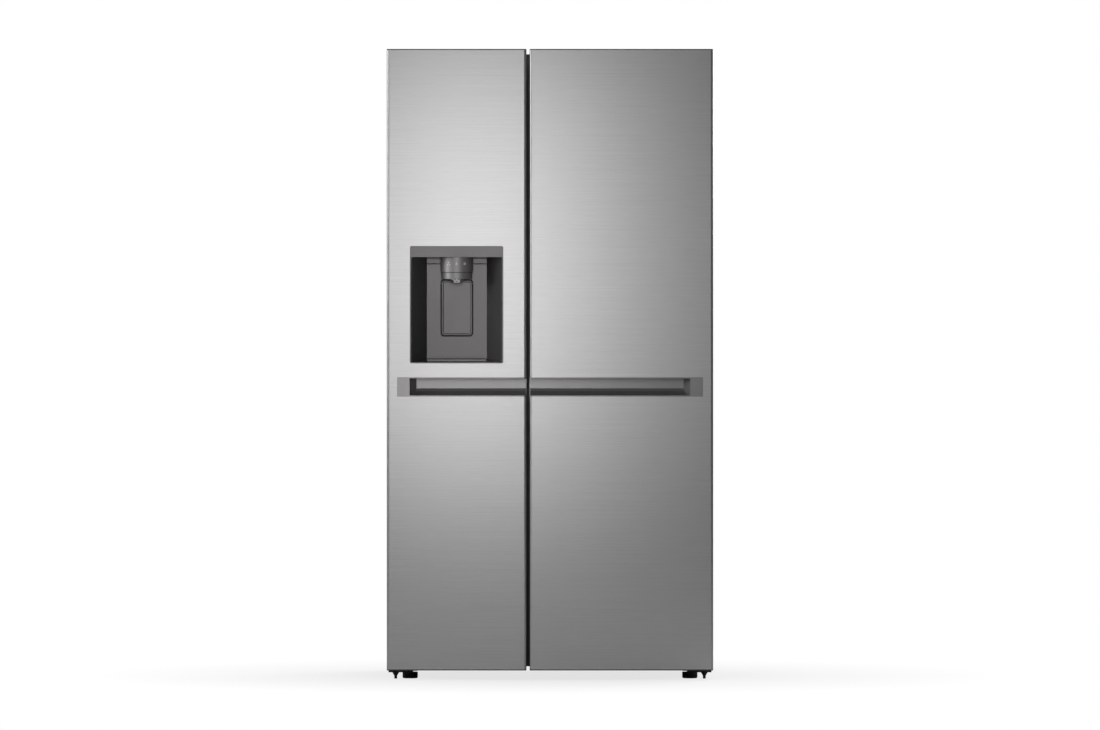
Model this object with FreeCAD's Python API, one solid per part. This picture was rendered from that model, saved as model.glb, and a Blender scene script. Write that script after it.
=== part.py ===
import FreeCAD, Part
import math
import os

# Side by side refrigerator: freezer on the left with an ice and water dispenser, fridge on the right.
# Millimetres. X to the right, Y to the rear (the doors face -Y), Z up. The origin is on the floor,
# under the middle of the width and of the depth.

V = FreeCAD.Vector
X_AXIS = V(1, 0, 0)
Y_AXIS = V(0, 1, 0)
Z_AXIS = V(0, 0, 1)

# Overall sizes
WIDTH = 913.0            # over the doors
DEPTH = 735.0            # dispenser and handle faces to the rear cover
DOOR_BOTTOM = 27.0
DOOR_HEIGHT = 1738.0
CASE_WIDTH = 909.0
CASE_DEPTH = 610.0
CASE_BOTTOM = 34.0
CASE_BELOW_DOOR_TOP = 10.0
SHEET = 1.0              # steel sheet
LINER = 1.5              # moulded cabinet liner
TOUCH = 0.3              # gap between pieces that move past each other
RUNNING = 0.05           # radial clearance of a pin or shaft in its bore

# Case walls
SIDE_WALL = 44.5
MULLION_CENTRE = -61.5
MULLION = 60.0
CEILING_WALL = 52.0
REAR_WALL = 67.5
CAVITY_FLOOR = 110.0
MACHINE_DEPTH = 237.5    # machine room, from the rear
MACHINE_TOP = 260.0
STEP_WALL = 43.0         # insulated wall over and ahead of the machine room

# Doors
DOOR_GAP = 9.0
PROUD = 1.5              # dispenser frame and handles stand this far out of the door skin
DOOR_DEPTH = 108.0       # handle face to the rear of the door liner
DOOR_LINER = 2.5
CAP_RIM = 3.0
CAP_DEPTH = 25.0
CAP_WALL = 2.5
EDGE_RADIUS = 7.0
HINGE_FROM_SIDE = 24.0
HINGE_FROM_FRONT = 57.5
PIN_RADIUS = 5.0
GASKET_WIDTH = 15.0
DYKE_FROM_WALL = 12.0
DYKE_WIDTH = 18.0
DYKE_HEIGHT = 44.5
BIN_DEPTH = 94.0
BIN_HEIGHT = 100.0
TRAY_WALL = 2.5

# Handles
HANDLE_BOTTOM = 793.0
HANDLE_HEIGHT = 54.0
HANDLE_FROM_SIDE = 29.0
HANDLE_CAP = 35.0
HANDLE_RAMP = 19.0
HANDLE_DEPTH = 44.0
HANDLE_POCKET = 37.0
HANDLE_LIP = 15.0
HANDLE_RISE = 20.0       # finger room behind the upper lip

# Dispenser
DISPENSER_WIDTH = 261.0
DISPENSER_BOTTOM = 886.0
DISPENSER_HEIGHT = 328.0
DISPENSER_BAND = 31.0
DISPENSER_SHELL = 3.0
NICHE_DEPTH = 72.0
NICHE_BACK_WIDTH = 168.0
NICHE_SILL = 3.0
NICHE_BACK_SILL = 13.0
TURRET_RADIUS = 45.5
TURRET_COLLAR_RADIUS = 43.0
TURRET_HEIGHT = 42.0
TURRET_COLLAR_HEIGHT = 19.0
NOZZLE_RADIUS = 19.0
NOZZLE_HEIGHT = 12.0
CUT_OVER = 1.0            # how far a cutting shape runs past a face
PADDLE_WIDTH = 84.0
PADDLE_BOTTOM = 965.0
PADDLE_HEIGHT = 153.0
PADDLE_THICK = 5.0
PADDLE_ROOM = 17.0
PADDLE_GAP = 4.0          # open line round the paddle
PADDLE_PROUD = 4.0        # its face stands out from the niche back
PADDLE_CORNER = 7.0
PADDLE_PIN_RADIUS = 2.5
PADDLE_PIN_BEYOND = 2.5   # how far a pin reaches into its ear
PADDLE_KNUCKLE_RADIUS = 4.5
PADDLE_PIN_DROP = 8.0     # pin below the plate top
KNUCKLE_CLEAR = 0.5
KNUCKLE_INSET = 2.0
EAR = 4.0
EAR_HEIGHT = 22.0
FRAME_CORNER = 4.5
FRAME_LAP = 3.0           # how far the frame laps over its hole in the skin
CHUTE_EXIT_WIDTH = 60.0
CHUTE_EXIT_FRONT = 26.0
CHUTE_EXIT_REAR = 24.0
TURRET_WAY_WIDTH = 52.0
TURRET_WAY_FRONT = 2.0
TURRET_WAY_REAR = 20.0
NOZZLE_FORWARD = 21.0     # nozzle centre in front of the turret centre
NOZZLE_TAPER = 3.0
NOZZLE_BORE = 4.0
NOZZLE_ROOF = 4.0
CHUTE_WIDTH = 64.0
CHUTE_HEIGHT = 66.0
CHUTE_WALL = 2.5
CHUTE_MOUTH_BOTTOM = 1266.0
CHUTE_MOUTH_LENGTH = 52.0

# Shelves, drawers and feet
SHELF_THICK = 6.0
FRIDGE_SHELVES = (760.0, 1030.0, 1300.0)
FREEZER_SHELVES = (720.0, 980.0)
CRISPER_COVER = 490.0
DRAWER_HEIGHT = 165.0
LOWER_DRAWER_BOTTOM = 122.0
UPPER_DRAWER_BOTTOM = 315.0
DRAWER_SETBACK = 94.0
RUNNER_WIDTH = 26.0
FOOT_RADIUS = 21.5
FOOT_HEIGHT = 18.0
FOOT_FROM_SIDE = 63.0
ROLLER_RADIUS = 20.0
ROLLER_WIDTH = 24.0
RAIL_WIDTH = 44.0
RAIL_HEIGHT = 30.0
RAIL_THICK = 3.0

# Worked out from the sizes above
HALF = WIDTH / 2
FRONT = -DEPTH / 2
REAR = DEPTH / 2
SKIN_FRONT = FRONT + PROUD
DOOR_REAR = FRONT + DOOR_DEPTH
DOOR_TOP = DOOR_BOTTOM + DOOR_HEIGHT
CASE_FRONT = REAR - CASE_DEPTH
CASE_HALF = CASE_WIDTH / 2
CASE_TOP = DOOR_TOP - CASE_BELOW_DOOR_TOP
CAVITY_SIDE = CASE_HALF - SIDE_WALL
MULLION_LEFT = MULLION_CENTRE - MULLION / 2
MULLION_RIGHT = MULLION_CENTRE + MULLION / 2
CAVITY_TOP = CASE_TOP - CEILING_WALL
CAVITY_REAR = REAR - REAR_WALL
MACHINE_FRONT = REAR - MACHINE_DEPTH
STEP_FRONT = MACHINE_FRONT - STEP_WALL
STEP_TOP = MACHINE_TOP + STEP_WALL + LINER
BASE_TOP = CASE_BOTTOM + RAIL_HEIGHT
SHEET_BACK = CASE_FRONT + SHEET
PIN_X = HALF - HINGE_FROM_SIDE
PIN_Y = FRONT + HINGE_FROM_FRONT
LEFT_DOOR = (-HALF, MULLION_CENTRE - DOOR_GAP / 2)
RIGHT_DOOR = (MULLION_CENTRE + DOOR_GAP / 2, HALF)
FREEZER = (-CAVITY_SIDE, MULLION_LEFT)
FRIDGE = (MULLION_RIGHT, CAVITY_SIDE)
LINER_FRONT = DOOR_REAR - DOOR_LINER
HANDLE_TOP = HANDLE_BOTTOM + HANDLE_HEIGHT
DISPENSER_TOP = DISPENSER_BOTTOM + DISPENSER_HEIGHT
DISPENSER_X = (LEFT_DOOR[0] + LEFT_DOOR[1]) / 2
NICHE_TOP = DISPENSER_TOP - DISPENSER_BAND
NICHE_BACK = FRONT + NICHE_DEPTH
RECESS_BACK = NICHE_BACK + PADDLE_ROOM + DISPENSER_SHELL
TURRET_Y = FRONT + 4.0 + TURRET_RADIUS
DRAWER_FRONT = CASE_FRONT + DRAWER_SETBACK
BIN_REAR = DOOR_REAR + BIN_DEPTH


def block(x, y, z):
    """A box from three (low, high) pairs."""
    size = (x[1] - x[0], y[1] - y[0], z[1] - z[0])
    return Part.makeBox(size[0], size[1], size[2], V(x[0], y[0], z[0]))


def rod(radius, length, base, axis):
    return Part.makeCylinder(radius, length, base, axis)


def prism(points, direction):
    """A closed outline of points, pushed along a direction."""
    outline = Part.makePolygon(points + points[:1])
    return Part.Face(outline).extrude(direction)


def fuse(first, *others):
    return first.multiFuse(list(others)).removeSplitter() if others else first


def rounded(shape, radius, axis):
    """Round the edges that run along one axis."""
    edges = []
    for edge in shape.Edges:
        along = edge.tangentAt(edge.FirstParameter)
        if abs(along.dot(axis)) > 0.999:
            edges.append(edge)
    return shape.makeFillet(radius, edges)


def mirrored(shape):
    return shape.mirror(V(0, 0, 0), X_AXIS)


def save(name, *shapes):
    kept = shapes[0] if len(shapes) == 1 else Part.makeCompound(list(shapes))
    kept.exportStep("parts/" + name + ".step")


# ---- Case ----------------------------------------------------------------------------------------

def outer_wrapper():
    """Painted side panels and top panel."""
    y = (CASE_FRONT, REAR - SHEET)
    left = block((-CASE_HALF, -CASE_HALF + SHEET), y, (CASE_BOTTOM, CASE_TOP))
    top = block((-CASE_HALF + SHEET, CASE_HALF - SHEET), y, (CASE_TOP - SHEET, CASE_TOP))
    return left, mirrored(left), top


def rear_covers():
    """Rear sheet over the insulation, and the louvred cover of the machine room below it."""
    y = (REAR - SHEET, REAR)
    sheet = block((-CASE_HALF, CASE_HALF), y, (MACHINE_TOP, CASE_TOP))
    cover = block((-CASE_HALF + SHEET, CASE_HALF - SHEET), y, (BASE_TOP, MACHINE_TOP))
    slot_length = 90.0
    slot_height = 6.0
    pitch = 16.0
    slots = []
    for column in range(-3, 4):
        x = column * (slot_length + pitch)
        for row in range(8):
            z = BASE_TOP + 45.0 + row * pitch
            slots.append(block((x - slot_length / 2, x + slot_length / 2),
                               (REAR - 2 * SHEET, REAR + SHEET), (z, z + slot_height)))
    inlet = rod(16.0, 4 * SHEET, V(350.0, REAR - 2 * SHEET, BASE_TOP + 20.0), Y_AXIS)
    return sheet, cover.cut(slots + [inlet])


def insulation():
    """Foam slabs between the liners and the outer panels."""
    outer = CASE_HALF - SHEET
    inner = CAVITY_SIDE + LINER
    back = REAR - SHEET
    ceiling = CAVITY_TOP + LINER
    floor = CAVITY_FLOOR - LINER
    across = (-inner, inner)
    mullion = (MULLION_LEFT + LINER, MULLION_RIGHT - LINER)
    step_front = STEP_FRONT + LINER
    step_top = STEP_TOP - LINER
    side = block((-outer, -inner), (SHEET_BACK, back), (MACHINE_TOP, CASE_TOP - SHEET))
    side_foot = block((-outer, -inner), (SHEET_BACK, MACHINE_FRONT), (BASE_TOP, MACHINE_TOP))
    return (
        side,
        mirrored(side),
        side_foot,
        mirrored(side_foot),
        block(across, (SHEET_BACK, step_front), (BASE_TOP, floor)),
        block(across, (step_front, MACHINE_FRONT), (BASE_TOP, MACHINE_TOP)),
        block(across, (step_front, back), (MACHINE_TOP, step_top)),
        block(across, (CAVITY_REAR + LINER, back), (step_top, CASE_TOP - SHEET)),
        block(across, (SHEET_BACK, CAVITY_REAR + LINER), (ceiling, CASE_TOP - SHEET)),
        block(mullion, (SHEET_BACK, CAVITY_REAR + LINER), (step_top, ceiling)),
        block(mullion, (SHEET_BACK, step_front), (floor, step_top)),
    )


def cavity_outline(x, grow):
    """The side outline of a cavity, grown by the liner's thickness except at the open front."""
    bottom = CAVITY_FLOOR - grow
    step = STEP_TOP - grow
    front_of_step = STEP_FRONT + grow
    rear = CAVITY_REAR + grow
    top = CAVITY_TOP + grow
    return [V(x, SHEET_BACK, bottom), V(x, front_of_step, bottom), V(x, front_of_step, step),
            V(x, rear, step), V(x, rear, top), V(x, SHEET_BACK, top)]


def cabinet_liner(cavity):
    width = cavity[1] - cavity[0]
    shell = prism(cavity_outline(cavity[0] - LINER, LINER), V(width + 2 * LINER, 0, 0))
    return shell.cut(prism(cavity_outline(cavity[0], 0), V(width, 0, 0)))


def front_frame():
    """Painted flange round the two cavities, which the door gaskets close on."""
    y = (CASE_FRONT, SHEET_BACK)
    sheet = block((-CASE_HALF + SHEET, CASE_HALF - SHEET), y, (CASE_BOTTOM, CASE_TOP - SHEET))
    z = (CAVITY_FLOOR, CAVITY_TOP)
    deep = (CASE_FRONT - SHEET, SHEET_BACK + SHEET)
    return sheet.cut([block(FREEZER, deep, z), block(FRIDGE, deep, z)])


def foot_place():
    return V(HALF - FOOT_FROM_SIDE, CASE_FRONT + FOOT_RADIUS, 0)


def roller_place():
    return V(HALF - FOOT_FROM_SIDE, REAR - 60.0, ROLLER_RADIUS)


def side_rail():
    """Channel under the right side: leveller boss in front, roller fork at the rear."""
    centre = foot_place()
    x = (centre.x - RAIL_WIDTH / 2, centre.x + RAIL_WIDTH / 2)
    y = (SHEET_BACK, REAR - SHEET)
    channel = block(x, y, (CASE_BOTTOM, BASE_TOP))
    inside = (x[0] + RAIL_THICK, x[1] - RAIL_THICK)
    channel = channel.cut(block(inside, (y[0] + RAIL_THICK, y[1] - RAIL_THICK),
                                (CASE_BOTTOM - RAIL_THICK, BASE_TOP - RAIL_THICK)))
    boss = rod(2.4 * PIN_RADIUS, RAIL_HEIGHT - RAIL_THICK, V(centre.x, centre.y, CASE_BOTTOM), Z_AXIS)
    roller = roller_place()
    axle_room = ROLLER_WIDTH / 2 + 1.0
    lugs = []
    for side in (-1, 1):
        inner = roller.x + side * axle_room
        outer = inner + side * RAIL_THICK
        lugs.append(block((min(inner, outer), max(inner, outer)), (roller.y - 12.0, roller.y + 12.0),
                          (roller.z - 9.0, BASE_TOP - RAIL_THICK)))
    axle = rod(4.0, 2 * (axle_room + RAIL_THICK),
               V(roller.x - axle_room - RAIL_THICK, roller.y, roller.z), X_AXIS)
    rail = fuse(channel, boss, axle, *lugs)
    return rail.cut(rod(PIN_RADIUS + TOUCH, RAIL_HEIGHT, V(centre.x, centre.y, CASE_BOTTOM - 1.0), Z_AXIS))


def base_frame():
    """Two channels, a front cross rail and the machine room's base pan."""
    rail = side_rail()
    inner = foot_place().x - RAIL_WIDTH / 2
    front = block((-inner, inner), (SHEET_BACK, SHEET_BACK + RAIL_WIDTH), (CASE_BOTTOM, BASE_TOP))
    front = front.cut(block((-inner, inner), (SHEET_BACK + RAIL_THICK, SHEET_BACK + RAIL_WIDTH - RAIL_THICK),
                            (CASE_BOTTOM - 1.0, BASE_TOP - RAIL_THICK)))
    pan = block((-inner, inner), (MACHINE_FRONT, REAR - SHEET), (BASE_TOP - RAIL_THICK, BASE_TOP))
    return rail, mirrored(rail), front, pan


def levelling_foot():
    """Screwed foot: a broad pad and its stem."""
    place = foot_place()
    pad = rod(FOOT_RADIUS, FOOT_HEIGHT, place, Z_AXIS)
    pad = pad.makeFillet(4.0, [e for e in pad.Edges if e.BoundBox.ZMax < 0.1])
    stem = rod(PIN_RADIUS, BASE_TOP - RAIL_THICK - 2.0 - FOOT_HEIGHT, place + V(0, 0, FOOT_HEIGHT), Z_AXIS)
    return fuse(pad, stem)


def rear_roller():
    place = roller_place()
    start = place - V(ROLLER_WIDTH / 2, 0, 0)
    wheel = rod(ROLLER_RADIUS, ROLLER_WIDTH, start, X_AXIS)
    wheel = wheel.makeFillet(2.0, [e for e in wheel.Edges if e.Curve.TypeId == "Part::GeomCircle"])
    return wheel.cut(rod(4.0 + RUNNING, ROLLER_WIDTH, start, X_AXIS))


# ---- Hinges --------------------------------------------------------------------------------------

HINGE_PLATE = 4.0
ARM_HALF_WIDTH = 15.0
BASE_INWARD = 60.0
BASE_START = 4.0
BASE_LENGTH = 56.0


def top_hinge():
    """Plate on the case top with an arm over the door, a pin pointing down and three bolts."""
    plate_top = CASE_TOP + HINGE_PLATE
    z = (CASE_TOP, plate_top)
    y0 = CASE_FRONT + BASE_START
    arm = block((PIN_X - ARM_HALF_WIDTH, PIN_X + ARM_HALF_WIDTH), (PIN_Y, y0 + BASE_LENGTH), z)
    nose = rod(ARM_HALF_WIDTH, HINGE_PLATE, V(PIN_X, PIN_Y, CASE_TOP), Z_AXIS)
    base = block((PIN_X - BASE_INWARD, PIN_X + ARM_HALF_WIDTH), (y0, y0 + BASE_LENGTH), z)
    base = rounded(base, 8.0, Z_AXIS)
    pin = rod(PIN_RADIUS, 14.0, V(PIN_X, PIN_Y, CASE_TOP - 14.0), Z_AXIS)
    plate = fuse(arm, nose, base, pin)
    bolts = []
    for dx, dy in ((-45.0, 14.0), (-45.0, 42.0), (0.0, 28.0)):
        bolts.append(rod(6.0, 4.0, V(PIN_X + dx, y0 + dy, plate_top), Z_AXIS))
    return [plate] + bolts


def hinge_cover():
    """Moulded cap over the hinge plate on the case top."""
    y0 = CASE_FRONT + 1.0
    room = HINGE_PLATE + 5.0
    outer = block((PIN_X - BASE_INWARD - 5.0, PIN_X + ARM_HALF_WIDTH + 4.0),
                  (y0, y0 + BASE_LENGTH + 12.0), (CASE_TOP, CASE_TOP + room + TRAY_WALL))
    outer = rounded(outer, 6.0, Z_AXIS)
    inner = block((PIN_X - BASE_INWARD - 1.0, PIN_X + ARM_HALF_WIDTH + 1.0),
                  (y0 - 1.0, y0 + BASE_LENGTH + 8.0), (CASE_TOP - 1.0, CASE_TOP + room))
    return outer.cut(inner)


def bottom_hinge():
    """Plate under the door with its pin, a spacer under the case and the turned lower pin end."""
    plate_top = DOOR_BOTTOM - 2.5
    plate_bottom = plate_top - HINGE_PLATE
    foot = foot_place()
    inner = HALF - 72.0
    outer = HALF - 4.0
    rear = foot.y + FOOT_RADIUS
    plate = rounded(block((inner, outer), (PIN_Y - 18.0, rear), (plate_bottom, plate_top)), 6.0, Z_AXIS)
    riser = block((inner, outer), (CASE_FRONT + 2.0, rear), (plate_top, CASE_BOTTOM))
    pin = rod(PIN_RADIUS, 18.0, V(PIN_X, PIN_Y, plate_top), Z_AXIS)
    collar = rod(9.0, 2.2, V(PIN_X, PIN_Y, plate_top), Z_AXIS)
    cone = Part.makeCone(4.0, 10.0, 10.0, V(PIN_X, PIN_Y, plate_bottom - 10.0), Z_AXIS)
    tail = rod(4.0, 8.0, V(PIN_X, PIN_Y, plate_bottom - 18.0), Z_AXIS)
    hinge = fuse(plate, riser, pin, collar, cone, tail)
    return hinge.cut(rod(PIN_RADIUS + TOUCH, CASE_BOTTOM, V(foot.x, foot.y, 0), Z_AXIS))


# ---- Machine room and cooling --------------------------------------------------------------------

COMPRESSOR = V(210.0, 245.0, 0)
MOUNT_HEIGHT = 10.0
MOUNT_SPACING = (150.0, 96.0)


def compressor():
    """Domed steel shell on a foot plate."""
    z = BASE_TOP + MOUNT_HEIGHT
    half = MOUNT_SPACING[0] / 2 + 14.0
    deep = MOUNT_SPACING[1] / 2 + 14.0
    plate = block((COMPRESSOR.x - half, COMPRESSOR.x + half),
                  (COMPRESSOR.y - deep, COMPRESSOR.y + deep), (z, z + RAIL_THICK))
    body = rod(72.0, 150.0, V(COMPRESSOR.x, COMPRESSOR.y, z), Z_AXIS)
    body = body.makeFillet(34.0, [e for e in body.Edges if e.BoundBox.ZMin > z + 140.0])
    terminal = block((COMPRESSOR.x + 60.0, COMPRESSOR.x + 92.0),
                     (COMPRESSOR.y - 26.0, COMPRESSOR.y + 26.0), (z + 40.0, z + 95.0))
    return fuse(plate, body, terminal)


def compressor_mounts():
    mounts = []
    for sx in (-1, 1):
        for sy in (-1, 1):
            place = V(COMPRESSOR.x + sx * MOUNT_SPACING[0] / 2, COMPRESSOR.y + sy * MOUNT_SPACING[1] / 2,
                      BASE_TOP)
            mounts.append(rod(12.0, MOUNT_HEIGHT, place, Z_AXIS))
    return mounts


TRAY_X = (-330.0, -130.0)
TRAY_Y = (175.0, 345.0)
TRAY_HEIGHT = 26.0
FAN_X = -60.0
FAN_Y = 255.0
FAN_Z = 162.0
FAN_RADIUS = 68.0


def evaporating_tray():
    z = (BASE_TOP, BASE_TOP + TRAY_HEIGHT)
    inner = block((TRAY_X[0] + TRAY_WALL, TRAY_X[1] - TRAY_WALL),
                  (TRAY_Y[0] + TRAY_WALL, TRAY_Y[1] - TRAY_WALL), (z[0] + TRAY_WALL, z[1] + 1.0))
    return block(TRAY_X, TRAY_Y, z).cut(inner)


def condenser():
    """Fin and tube coil standing on the rim of the tray."""
    z = (BASE_TOP + TRAY_HEIGHT, BASE_TOP + TRAY_HEIGHT + 130.0)
    pieces = []
    for k in range(10):
        x = TRAY_X[0] + 10.0 + k * 19.0
        pieces.append(block((x, x + 2.0), TRAY_Y, z))
    for row in range(3):
        for column in range(4):
            place = V(TRAY_X[0] + 4.0, TRAY_Y[0] + 25.0 + column * 40.0, z[0] + 25.0 + row * 40.0)
            pieces.append(rod(5.0, TRAY_X[1] - TRAY_X[0] - 8.0, place, X_AXIS))
    return fuse(*pieces)


def blade_fan(radius, hub_radius, hub_length, shaft_radius, blades):
    """A fan about the X axis at the origin: a bored hub and pitched blades."""
    hub = rod(hub_radius, hub_length, V(-hub_length / 2, 0, 0), X_AXIS)
    wings = []
    for k in range(blades):
        wing = block((-1.2, 1.2), (-14.0, 14.0), (hub_radius - 4.0, radius))
        wing.rotate(V(0, 0, 0), Z_AXIS, 32.0)
        wing.rotate(V(0, 0, 0), X_AXIS, 360.0 * k / blades)
        wings.append(wing)
    fan = fuse(hub, *wings)
    return fan.cut(rod(shaft_radius + RUNNING, hub_length, V(2.0 - hub_length / 2, 0, 0), X_AXIS))


def condenser_fan():
    fan = blade_fan(FAN_RADIUS, 18.0, 22.0, 3.0, 5)
    fan.translate(V(FAN_X, FAN_Y, FAN_Z))
    return fan


def condenser_fan_motor():
    """Motor on a bracket from the base pan."""
    start = FAN_X + 14.0
    motor = rod(24.0, 34.0, V(start, FAN_Y, FAN_Z), X_AXIS)
    post = block((start + 8.0, start + 26.0), (FAN_Y - 20.0, FAN_Y + 20.0), (BASE_TOP, FAN_Z))
    shaft = rod(3.0, 22.0, V(start - 20.0, FAN_Y, FAN_Z), X_AXIS)
    return fuse(motor, post, shaft)


def water_valve():
    """Solenoid valve behind the machine room cover, with its threaded inlet."""
    x = 350.0
    z = BASE_TOP + 20.0
    body = block((x - 22.0, x + 22.0), (REAR - 55.0, REAR - 20.0), (BASE_TOP, BASE_TOP + 60.0))
    inlet = rod(13.0, 22.0, V(x, REAR - 22.0, z), Y_AXIS)
    inlet_bore = rod(9.0, 24.0, V(x, REAR - 24.0, z), Y_AXIS)
    return fuse(body, inlet).cut(inlet_bore)


EVAPORATOR_COVER_Y = 236.0
COVER_THICK = 3.0
EVAPORATOR_TOP = 880.0
FREEZER_FAN_Z = 1000.0
FREEZER_FAN_RADIUS = 52.0
FREEZER_COVER_TOP = 1150.0
FREEZER_MIDDLE = (FREEZER[0] + FREEZER[1]) / 2


def evaporator_cover():
    """Rear panel of the freezer with a round grille over the fan and return slots below."""
    sheet = block(FREEZER, (EVAPORATOR_COVER_Y, EVAPORATOR_COVER_Y + COVER_THICK),
                  (STEP_TOP, FREEZER_COVER_TOP))
    top = block(FREEZER, (EVAPORATOR_COVER_Y, CAVITY_REAR),
                (FREEZER_COVER_TOP, FREEZER_COVER_TOP + COVER_THICK))
    cuts = []
    pitch = 14.0
    for k in range(-3, 4):
        z = FREEZER_FAN_Z + k * pitch
        half = math.sqrt(FREEZER_FAN_RADIUS ** 2 - (k * pitch) ** 2)
        cuts.append(block((FREEZER_MIDDLE - half, FREEZER_MIDDLE + half),
                          (EVAPORATOR_COVER_Y - 1.0, EVAPORATOR_COVER_Y + COVER_THICK + 1.0), (z - 4.0, z + 4.0)))
    for k in range(6):
        x = FREEZER[0] + 45.0 + k * 40.0
        cuts.append(block((x, x + 25.0), (EVAPORATOR_COVER_Y - 1.0, EVAPORATOR_COVER_Y + COVER_THICK + 1.0),
                          (STEP_TOP + 12.0, STEP_TOP + 20.0)))
    return fuse(sheet, top).cut(cuts)


def evaporator():
    """Fin coil behind the freezer's rear panel."""
    y = (EVAPORATOR_COVER_Y + COVER_THICK, CAVITY_REAR)
    x = (FREEZER[0] + 18.0, FREEZER[1] - 18.0)
    pieces = []
    for k in range(12):
        start = x[0] + 12.0 + k * 22.0
        pieces.append(block((start, start + 2.0), y, (STEP_TOP + 60.0, EVAPORATOR_TOP)))
    middle = (y[0] + y[1]) / 2
    for row in range(9):
        pieces.append(rod(5.0, x[1] - x[0], V(x[0], middle, STEP_TOP + 90.0 + row * 56.0), X_AXIS))
    return fuse(*pieces)


def evaporator_fan():
    fan = blade_fan(FREEZER_FAN_RADIUS, 14.0, 16.0, 3.0, 5)
    fan.rotate(V(0, 0, 0), Z_AXIS, 90.0)
    fan.translate(V(FREEZER_MIDDLE, EVAPORATOR_COVER_Y + 20.0, FREEZER_FAN_Z))
    return fan


def evaporator_fan_motor():
    y = EVAPORATOR_COVER_Y + 34.0
    motor = rod(22.0, CAVITY_REAR - y, V(FREEZER_MIDDLE, y, FREEZER_FAN_Z), Y_AXIS)
    shaft = rod(3.0, 20.0, V(FREEZER_MIDDLE, y - 20.0, FREEZER_FAN_Z), Y_AXIS)
    return fuse(motor, shaft)


def fridge_air_duct():
    """Air duct panel up the rear wall of the fridge, with an outlet above each shelf."""
    middle = (FRIDGE[0] + FRIDGE[1]) / 2
    duct = block((middle - 75.0, middle + 75.0), (CAVITY_REAR - 24.0, CAVITY_REAR),
                 (CRISPER_COVER + 30.0, CAVITY_TOP))
    duct = rounded(duct, 6.0, Z_AXIS)
    cuts = []
    for shelf in FRIDGE_SHELVES:
        for side in (-1, 1):
            x = middle + side * 35.0
            cuts.append(block((x - 25.0, x + 25.0), (CAVITY_REAR - 25.0, CAVITY_REAR - 12.0),
                              (shelf + 90.0, shelf + 102.0)))
    return duct.cut(cuts)


def control_box():
    """Control and lamp housing under the fridge ceiling."""
    middle = (FRIDGE[0] + FRIDGE[1]) / 2
    box = block((middle - 130.0, middle + 130.0), (-20.0, 150.0), (CAVITY_TOP - 38.0, CAVITY_TOP))
    return rounded(box, 10.0, Z_AXIS)


# ---- Inside the cavities -------------------------------------------------------------------------

SHELF_FRONT = BIN_REAR + 15.0


def glass_shelf(cavity, height, rear):
    """Glass pane in a moulded front trim."""
    pane = block(cavity, (SHELF_FRONT + 10.0, rear), (height, height + SHELF_THICK))
    trim = block(cavity, (SHELF_FRONT, SHELF_FRONT + 12.0), (height - 8.0, height + SHELF_THICK + 2.0))
    return fuse(pane, rounded(trim, 3.0, X_AXIS))


def fridge_shelves():
    shelves = []
    for height in FRIDGE_SHELVES:
        shelves.append(glass_shelf(FRIDGE, height, CAVITY_REAR - 24.0))
    return shelves


def crisper_cover():
    return glass_shelf(FRIDGE, CRISPER_COVER, CAVITY_REAR)


def freezer_shelves():
    """Wire shelves: rods from front to rear welded on two cross rods and a front rail."""
    wire = 2.5
    pitch = 20.0
    shelves = []
    for height in FREEZER_SHELVES:
        cross = []
        for y in (SHELF_FRONT + 6.0, SHELF_FRONT + 120.0, EVAPORATOR_COVER_Y - 12.0):
            cross.append(rod(2 * wire, FREEZER[1] - FREEZER[0], V(FREEZER[0], y, height), X_AXIS))
        count = int((FREEZER[1] - FREEZER[0] - 2 * pitch) / pitch)
        first = FREEZER_MIDDLE - count * pitch / 2
        for k in range(count + 1):
            cross.append(rod(wire, EVAPORATOR_COVER_Y - 6.0 - SHELF_FRONT,
                             V(first + k * pitch, SHELF_FRONT, height + wire), Y_AXIS))
        shelves.append(fuse(*cross))
    return shelves


def open_tray(x, y, z, wall):
    """An open box with rounded upright edges."""
    outer = rounded(block(x, y, z), 8.0, Z_AXIS)
    inner = block((x[0] + wall, x[1] - wall), (y[0] + wall, y[1] - wall), (z[0] + wall, z[1] + 1.0))
    return outer.cut(rounded(inner, 8.0 - wall, Z_AXIS))


def drawer_span(cavity):
    return (cavity[0] + RUNNER_WIDTH + 4.0, cavity[1] - RUNNER_WIDTH - 4.0)


FLANGE = 16.0
FLANGE_THICK = 4.0
UPPER_DRAWER_REAR = EVAPORATOR_COVER_Y - 14.0
LOWER_DRAWER_REAR = STEP_FRONT - 8.0


def drawer(cavity, bottom, rear):
    """Open drawer with side flanges that slide on the runners and a lip to pull it by."""
    x = drawer_span(cavity)
    top = bottom + DRAWER_HEIGHT
    body = open_tray(x, (DRAWER_FRONT, rear), (bottom, top), TRAY_WALL)
    y = (DRAWER_FRONT + 20.0, rear - 10.0)
    z = (top - FLANGE_THICK, top)
    left = block((x[0] - FLANGE, x[0] + TRAY_WALL), y, z)
    right = block((x[1] - TRAY_WALL, x[1] + FLANGE), y, z)
    middle = (x[0] + x[1]) / 2
    lip = block((middle - 70.0, middle + 70.0), (DRAWER_FRONT - 12.0, DRAWER_FRONT + 1.0), z)
    return fuse(body, left, right, lip)


def drawer_runners():
    """Ledges on the cavity walls that carry the flanges of the drawers."""
    runners = []
    for cavity in (FREEZER, FRIDGE):
        x = drawer_span(cavity)
        for bottom, rear in ((LOWER_DRAWER_BOTTOM, LOWER_DRAWER_REAR), (UPPER_DRAWER_BOTTOM, UPPER_DRAWER_REAR)):
            top = bottom + DRAWER_HEIGHT - FLANGE_THICK
            y = (DRAWER_FRONT + 10.0, rear)
            z = (top - 14.0, top)
            runners.append(block((cavity[0], x[0] - 1.0), y, z))
            runners.append(block((x[1] + 1.0, cavity[1]), y, z))
    return runners


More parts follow.
